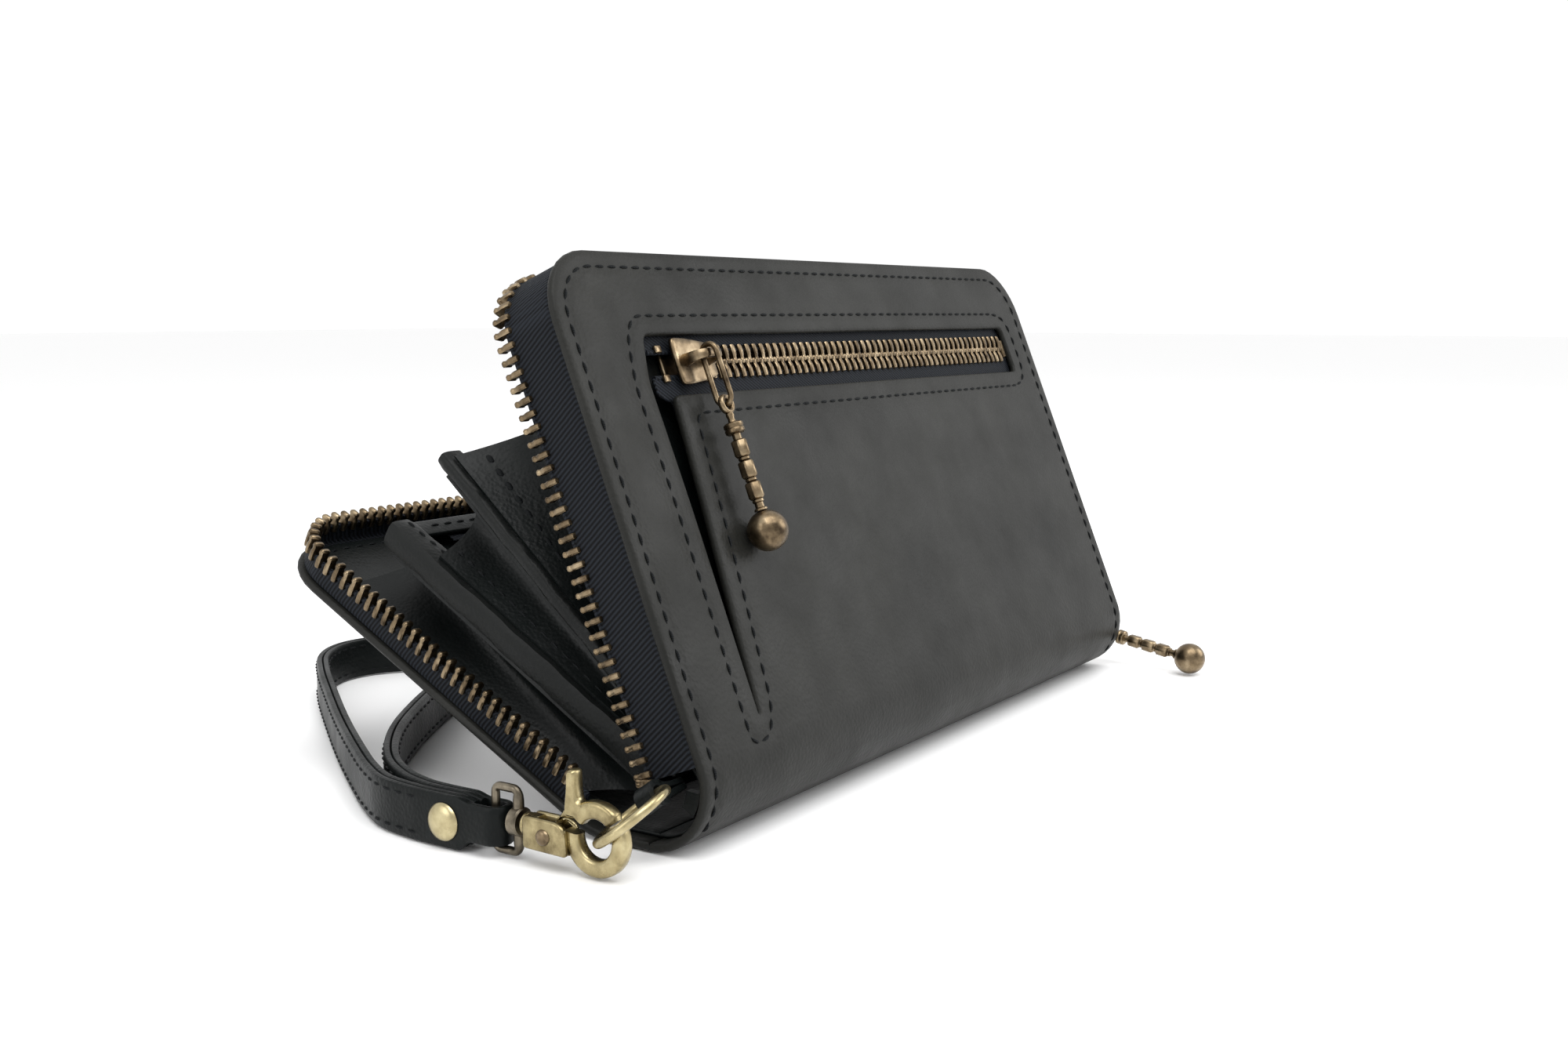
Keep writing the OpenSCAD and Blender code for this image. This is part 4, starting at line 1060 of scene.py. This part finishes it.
def pleat_seam(a, b, low, high, inward):
    """Stitches beside each of a pleat's two sewn edges, on both of its faces."""
    def on_pleat(u, n, w):
        u, n, t = float(u), float(n), float(w) / 60
        p, q, mid = fold(a, b, low, high, inward, t)
        up_v = (a(t + 0.02) - a(t - 0.02)).normalized()
        u = u / 20
        ripple = 0.25 * math.sin(t * 9) * math.sin(math.pi * min(max(u, 0), 1))
        pt, nv = on_fold(p, q, mid, up_v, u)
        return pt + (n + ripple) * MM * nv
    shape = Shape()
    for u in (0.1, 0.9):
        for side in (-1, 1):
            stitches(on_pleat, [(20 * u, 1), (20 * u, 59)], side * 0.42, sign=side, length=2.2,
                     gap=0.7, r=0.24, shape=shape)
    return shape


def line(place, x, n, w0, w1):
    return lambda t: place(x, n, w0 + (w1 - w0) * t)


def across(lean):
    """Normal of a leaf with this lean."""
    return (0, math.cos(lean), -math.sin(lean))


for side, x, inward in (("left", 5.1, 1), ("right", 177.9, -1)):
    for where, body, hinge, lean, anchor, keep, pair in (
            ("front", "front_shell", "front_divider_hinge", LEAN_F, front(x, 5.3, 50), 0.012,
             (line(front, x, 5.65, 23, 86), line(divider_1, x, -1.95, 2, 69.6), 3, 12)),
            ("middle", "front_divider", "coin_divider_hinge", LEAN_1, divider_1(x, 1.9, 40),
             0.2, (line(divider_1, x, 1.95, -2, 68.6), line(divider_2, x, -3.25, -1, 58.5),
                   2, 9)),
            ("back", "coin_divider", "back_cover_hinge", LEAN_2, divider_2(x, 2.95, 40), 0.08,
             (line(divider_2, x, 3.25, -3, 68.5), line(back, x, 3.45, 7, 74), 2, 12))):
        gusset = f"gusset_{side}_{where}"
        obj = part(gusset, "leather", pleat(*pair, inward), INNER, body)
        across(lean)
        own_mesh(obj)
        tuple(anchor)
        if where != "back":
            obj = sew(gusset, pleat_seam(*pair, inward), body, "inner_leather")
            across(lean)
            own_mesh(obj)
            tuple(anchor)

# ---- ring, tab and hook ----

GRIP = Matrix.Translation(Vector((-4.5 - COVER_W / 2, -8.9, 11.5))) @ Matrix.Rotation(
    math.radians(54), 4, "X")


def at_grip(x, y, z):
    return (GRIP @ Vector((x, y, z))) * MM


rings = []
bend = [math.radians(42 + 276 * k / 24) for k in range(25)]
unbend = [math.radians(318 - 276 * k / 24) for k in range(25)]
for z in np.linspace(-1.9, 1.9, 7):
    section = [(2.38 * math.cos(a), 2.38 * math.sin(a)) for a in bend]
    section += [(1.28 * math.cos(a), 1.28 * math.sin(a)) for a in unbend]
    rings.append([at_grip(x, y, z) for x, y in section])
shape = Shape().loft(rings)
for side in (-1, 1):
    path = [(1.15, side * 1.45), (2.4, side * 0.9), (4.0, side * 0.62), (6.9, side * 0.58)]
    rings = []
    for px, py in densify(path, 0.8, False):
        rings.append([at_grip(px, py + 0.5 * q, z) for z, q in
                      ((-1.9, -0.8), (-1.7, -1), (1.7, -1), (1.9, -0.8), (1.9, 0.8),
                       (1.7, 1), (-1.7, 1), (-1.9, 0.8))])
    shape.loft(rings)
web = [[front(x, 2.45, w) for w in np.linspace(6.6, 12.2, 8)]
       + [front(x, 5.2, w) for w in np.linspace(12.2, 6.6, 8)]
       for x in np.linspace(1.6, 3.0, 4)]
shape.loft(web)
part("ring_tab", "leather", shape, INNER, "front_shell")
RING = GRIP @ Matrix.Rotation(math.radians(14.2), 4, "Z") @ Matrix.Translation(
    Vector((-6.9, 0, 0)))
path = [(RING @ Vector((6.9 * math.cos(a), 0, 6.9 * math.sin(a)))) * MM for a in turns(72)]
part("strap_ring", "wire", Shape().tube(path, 0.85, (RING.to_3x3() @ Vector((0, 1, 0))), True,
                                        20), POLISHED, "strap_ring")


def hook_arc(shape, a0, a1, steps, ends):
    """Rounded bar bent along the hook's ring, from one angle to another; ends says which
    of the two is tapered."""
    rings = []
    for k in range(steps + 1):
        a = math.radians(a0 + (a1 - a0) * k / steps)
        near = min(k, steps - k) / 2
        taper = 1 - 0.28 * max(0, 1 - near) if ends[0 if k < steps / 2 else 1] else 1.0
        mid, half = (HOOK_IN + HOOK_OUT) / 2, (HOOK_OUT - HOOK_IN) / 2 * taper
        ring = []
        for b in turns(20):
            cb, sb = math.cos(b), math.sin(b)
            q = mid + math.copysign(abs(cb) ** 0.55, cb) * half
            z = math.copysign(abs(sb) ** 0.55, sb) * HOOK_T / 2 * taper
            ring.append(hook_at(q * math.cos(a), q * math.sin(a), z))
        rings.append(ring)
    return shape.loft(rings)


def along_hook(x, y, z):
    """For turned parts on the hook's own length."""
    return hook_at(-y, x, z)


def hook_plate(x, n, w):
    return hook_at(x, w, n)


shape = hook_arc(Shape(), 143, 366, 44, (1, 0))
BLOCK_T = 4.4
cheek = rounded([(5.2, -3.8), (14.6, -3.6), (14.6, 2.0), (10.4, 2.0), (7.2, 1.9),
                 (5.6, 1.0)], 0.9)
for z0 in (-BLOCK_T / 2, 0.95):
    panel(hook_plate, cheek, t=1.25, n0=z0, edge=0.4, step=2, loop_step=0.8, shape=shape)
panel(hook_plate, box_outline(5.5, -3.7, 14.4, -3.3, 0.1), t=1.9, n0=-0.95, edge=0.08, step=4,
      loop_step=1.5, shape=shape)
panel(hook_plate, box_outline(12.1, -3.6, 14.5, 1.9, 0.2), t=1.9, n0=-0.95, edge=0.08, step=3,
      loop_step=1, shape=shape)
shape.lathe(along_hook, [(1.6, 14.4), (1.95, 14.6), (1.95, 15.2), (1.5, 15.4)], 28)
part("hook_body", "cast", shape, POLISHED, "hook")

shape = hook_arc(Shape(), 39, 139, 22, (0, 1))
panel(hook_plate, rounded([(3.3, 2.9), (6.2, 3), (6.4, 4.4), (6.0, 7.5), (5.9, 10.6),
                           (5.0, 11.1), (3.9, 10.9), (3.8, 8), (3.5, 5.8), (2, 5.6)], 0.7),
      t=2.6, n0=-1.3, edge=0.45, step=2, loop_step=0.7, shape=shape)
panel(hook_plate, rounded([(3.06, 2.75), (7.85, 2.3), (7.9, 0.4), (9, -2), (10.4, -2.5),
                           (11.5, -1.2), (11, 0.1), (8.4, 1.8), (6.6, 4.1), (3.6, 4.6)], 0.5),
      t=1.5, n0=-0.75, edge=0.3, step=2, loop_step=0.7, shape=shape)
part("hook_gate", "cast", shape, POLISHED, "gate")


def gate_pin_at(x, y, z):
    return hook_at(10 + x, -1 + z, -y)


profile = [(0.3, -2.85), (0.95, -2.75), (1.3, -2.5), (1.4, -2.22), (0.75, -2.2), (0.75, 2.2),
           (1.4, 2.22), (1.3, 2.5), (0.95, 2.75), (0.3, 2.85)]
part("gate_pivot", "pin", Shape().lathe(gate_pin_at, profile, 24), BRASS, "hook")
spring = rounded([(6.9, -3.3), (11.5, -3.3), (11.5, -3.1), (8.3, -3.1), (7.1, -2.3),
                  (6.9, -2.5)], 0.08, 3)
part("gate_spring", "leaf", panel(hook_plate, spring, t=1.4, n0=-0.7, edge=0.06, step=2,
                                  loop_step=0.5), GUNMETAL, "hook")

BOW_Y = 16.0
shape = Shape().lathe(along_hook, [(1.0, BOW_Y), (2.2, BOW_Y), (2.5, BOW_Y + 0.3),
                                   (2.5, BOW_Y + 1.9), (2.2, BOW_Y + 2.2),
                                   (1.0, BOW_Y + 2.2)], 32)
corner = 1.1
half_y = 5.45
bow = [(BOW_Y + 1.1, 1.9), (BOW_Y + 1.1, 3.6)]
bow += [(BOW_Y + 1.1 + corner * (1 - math.cos(a)), half_y - corner + corner * math.sin(a))
        for a in np.linspace(0, math.pi / 2, 7)]
bow += [(BOW_Y + 6.2 - corner + corner * math.sin(a),
         half_y - corner + corner * math.cos(a)) for a in np.linspace(0, math.pi / 2, 7)]
bow += [(BOW_Y + 6.2, y) for y in np.linspace(3.4, 0, 5)]
bow += [(x, -y) for x, y in reversed(bow[:-1])]
shape.tube([hook_at(x, y, 0) for x, y in bow],
           lambda u: 0.75 + 0.25 * max(0, abs(2 * u - 1) - 0.8) / 0.2, Vector((1, 0, 0)),
           sides=18)
part("swivel_bow", "cast", shape, GUNMETAL, "bow")
profile = [(0.3, 12.95), (1.3, 12.95), (1.4, 13.1), (1.4, 13.7), (0.9, 13.75),
           (0.9, BOW_Y + 2.35), (1.7, BOW_Y + 2.36), (1.7, BOW_Y + 2.6), (1.2, BOW_Y + 2.95),
           (0.3, BOW_Y + 3.05)]
part("swivel_pin", "head", Shape().lathe(along_hook, profile, 24), GUNMETAL, "hook")

# ---- wrist strap ----

BAR_Y = HOOK[1] + BOW_Y + 6.2
STRAP_GAP = 3.2
STRAP_OUT, STRAP_IN = HOOK[0] - STRAP_GAP / 2, HOOK[0] + STRAP_GAP / 2
FULL_Y = BAR_Y + 3.6
ROUTE = [(STRAP_OUT, FULL_Y), (STRAP_OUT, 26), (STRAP_OUT, 30), (STRAP_OUT + 0.3, 35),
         (-14.4, 43), (-10.4, 51), (-3.6, 61.5), (10, 81), (25.6, 102), (41, 122), (52, 134),
         (63, 139.5), (74, 137.5), (82, 129), (82, 117), (73, 105), (58, 96), (43, 88),
         (28, 79), (14, 69.5), (3, 60), (-5, 51), (-10.2, 42), (STRAP_IN + 0.5, 35),
         (STRAP_IN, 30), (STRAP_IN, 26), (STRAP_IN, FULL_Y)]


def spline_curve(route, steps):
    """Smooth curve through points, each span parted into steps."""
    p = [np.array(v, float) for v in route]
    p = [p[0], *p, p[-1]]
    out = []
    for a, b, c, d in zip(p, p[1:], p[2:], p[3:]):
        for k in range(steps):
            t = k / steps
            out.append(0.5 * (2 * b + (c - a) * t + (2 * a - 5 * b + 4 * c - d) * t * t
                              + (3 * b - a - 3 * c + d) * t ** 3))
    out.append(p[-1])
    return np.array(out)


curve = spline_curve(ROUTE, 8)
tangent = np.gradient(curve, axis=0)
tangent /= np.linalg.norm(tangent, axis=1, keepdims=True)
left = np.stack([-tangent[:, 1], tangent[:, 0]], 1)


def strap_ring_at(p, side, half_t, z0, z1, bow_out):
    """Cross-section of a ply at p: rounded edges and a slightly full outer face."""
    r = 0.45
    ring = []
    section = [(-half_t, z0 + r), (-half_t + r * 0.5, z0 + 0.1), (0, z0),
               (half_t - r * 0.5, z0 + 0.1), (half_t, z0 + r)]
    for k in range(1, 6):
        z = z0 + r + (z1 - z0 - 2 * r) * k / 6
        section.append((half_t + bow_out * math.sin(math.pi * k / 6), z))
    section += [(half_t, z1 - r), (half_t - r * 0.5, z1 - 0.1), (0, z1),
                (-half_t + r * 0.5, z1 - 0.1), (-half_t, z1 - r)]
    for k in range(5, 0, -1):
        section.append((-half_t, z0 + r + (z1 - z0 - 2 * r) * k / 6))
    for o, z in section:
        ring.append(world(p[0] + side[0] * o, p[1] + side[1] * o, z))
    return ring


rings = []
for p, s in zip(curve, left):
    t = ease((p[1] - FULL_Y) / 3.0)
    rings.append(strap_ring_at(p + 0.7 * s, s, 0.68, 1.9 * (1 - t), 8.8 + 0.6 * t, 0.1))
turn = [np.array([STRAP_IN + 0.7, y]) for y in np.linspace(FULL_Y, BAR_Y, 6)[1:]]
for p in turn:
    rings.append(strap_ring_at(p, (1, 0), 0.68, 1.9, 8.8, 0.1))
for k in range(1, 13):
    a = -math.pi * k / 12
    side = (math.cos(a), math.sin(a))
    centre = np.array([HOOK[0], BAR_Y]) + 2.3 * np.array(side)
    rings.append(strap_ring_at(centre, side, 0.68, 1.9, 8.8, 0.1))
for y in np.linspace(BAR_Y, FULL_Y, 6)[1:-1]:
    rings.append(strap_ring_at(np.array([STRAP_OUT - 0.7, y]), (-1, 0), 0.68, 1.9, 8.8, 0.1))
piece("strap_outer_leather", Shape().loft(rings, True), STRAP, "strap", ("strap_outer_ply",))
rings = []
for p, s in zip(curve, left):
    t = clamp((p[1] - FULL_Y) / 3.0)
    rings.append(strap_ring_at(p - 0.7 * s, -s, 0.68, 1.9 * (1 - t), 8.8 + 0.6 * t, 0.05))
piece("strap_inner_leather", Shape().loft(rings), STRAP, "strap", ("strap_inner_ply",))

length = np.concatenate([[0], np.cumsum(np.linalg.norm(np.diff(curve, axis=0), axis=1))])


def on_strap(u, n, z):
    """Along the strap's curve by length, n out to the left of it, z up."""
    p = np.array([np.interp(u, length, curve[:, k]) for k in (0, 1)])
    s = np.array([np.interp(u, length, left[:, k]) for k in (0, 1)])
    return world(p[0] + s[0] * n, p[1] + s[1] * n, z)


shape = Shape()
for z in (1.5, 7.9):
    stitches(on_strap, [(12, z), (length[-1] - 12, z)], 1.43, sign=1, r=0.25, shape=shape)
    stitches(on_strap, [(12, z), (length[-1] - 12, z)], -1.4, sign=-1, r=0.25, shape=shape)
sew("strap", shape, "strap", "strap_leather")


def at_rivet(x, y, z):
    return world(HOOK[0] + y, 26 + x, 4.7 + z)


cap = [(0.02, 4.25), (1.1, 4.22), (2.0, 4.08), (2.8, 3.8), (3.3, 3.45), (3.4, 3.15),
       (3.25, 3.02), (0.5, 3.0)]
part("strap_rivet_cap", "dome", Shape().lathe(at_rivet, cap, 40), POLISHED, "strap")
cap = [(0.02, -3.62), (1.6, -3.6), (3.0, -3.5), (3.4, -3.25), (3.4, -3.02), (1.1, -3.0),
       (1.1, 3.0)]
part("strap_rivet_post", "cap", Shape().lathe(at_rivet, cap, 32), BRASS, "strap")

# ---- floor and light ----

floor_mesh = bpy.data.meshes.new("floor")
floor_mesh.from_pydata([(-6, -6, 0), (6, -6, 0), (6, 6, 0), (-6, 6, 0)], [], [(0, 1, 2, 3)])
floor = bpy.data.objects.new("floor", floor_mesh)
floor.location.z = -0.0003
bpy.context.scene.collection.objects.link(floor)
floor_mat = bpy.data.materials.new("floor")
floor_mat.use_nodes = True
base = floor_mat.node_tree.nodes["Principled BSDF"]
base.inputs["Base Color"].default_value = (0.93, 0.93, 0.93, 1)
base.inputs["Roughness"].default_value = 0.35
base.inputs["Specular IOR Level"].default_value = 0.3
floor_mesh.materials.append(floor_mat)
floor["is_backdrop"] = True

studio = bpy.data.worlds.new("studio")
studio.use_nodes = True
studio.node_tree.nodes["Background"].inputs["Color"].default_value = (1, 1, 1, 1)
studio.node_tree.nodes["Background"].inputs["Strength"].default_value = 1.02
bpy.context.scene.world = studio
bpy.context.scene.view_settings.view_transform = "Standard"


def area(name, place, target, size, energy):
    data = bpy.data.lights.new(name, "AREA")
    data.shape = "RECTANGLE"
    data.size, data.size_y = size
    data.energy = energy
    obj = bpy.data.objects.new(name, data)
    obj.location = place
    obj.rotation_euler = (Vector(target) - Vector(place)).to_track_quat("-Z", "Y").to_euler()
    bpy.context.scene.collection.objects.link(obj)


area("key", (-0.25, -0.35, 0.95), (0, 0.02, 0.03), (0.9, 0.7), 9)
area("side", (-0.95, 0.35, 0.45), (0, 0.02, 0.04), (0.6, 0.6), 2.5)
area("fill", (0.7, -0.75, 0.5), (0.03, 0, 0.05), (0.6, 0.6), 5)

[[[float(c) for c in corner] for corner in box]
           for box in (cad_box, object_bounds())]
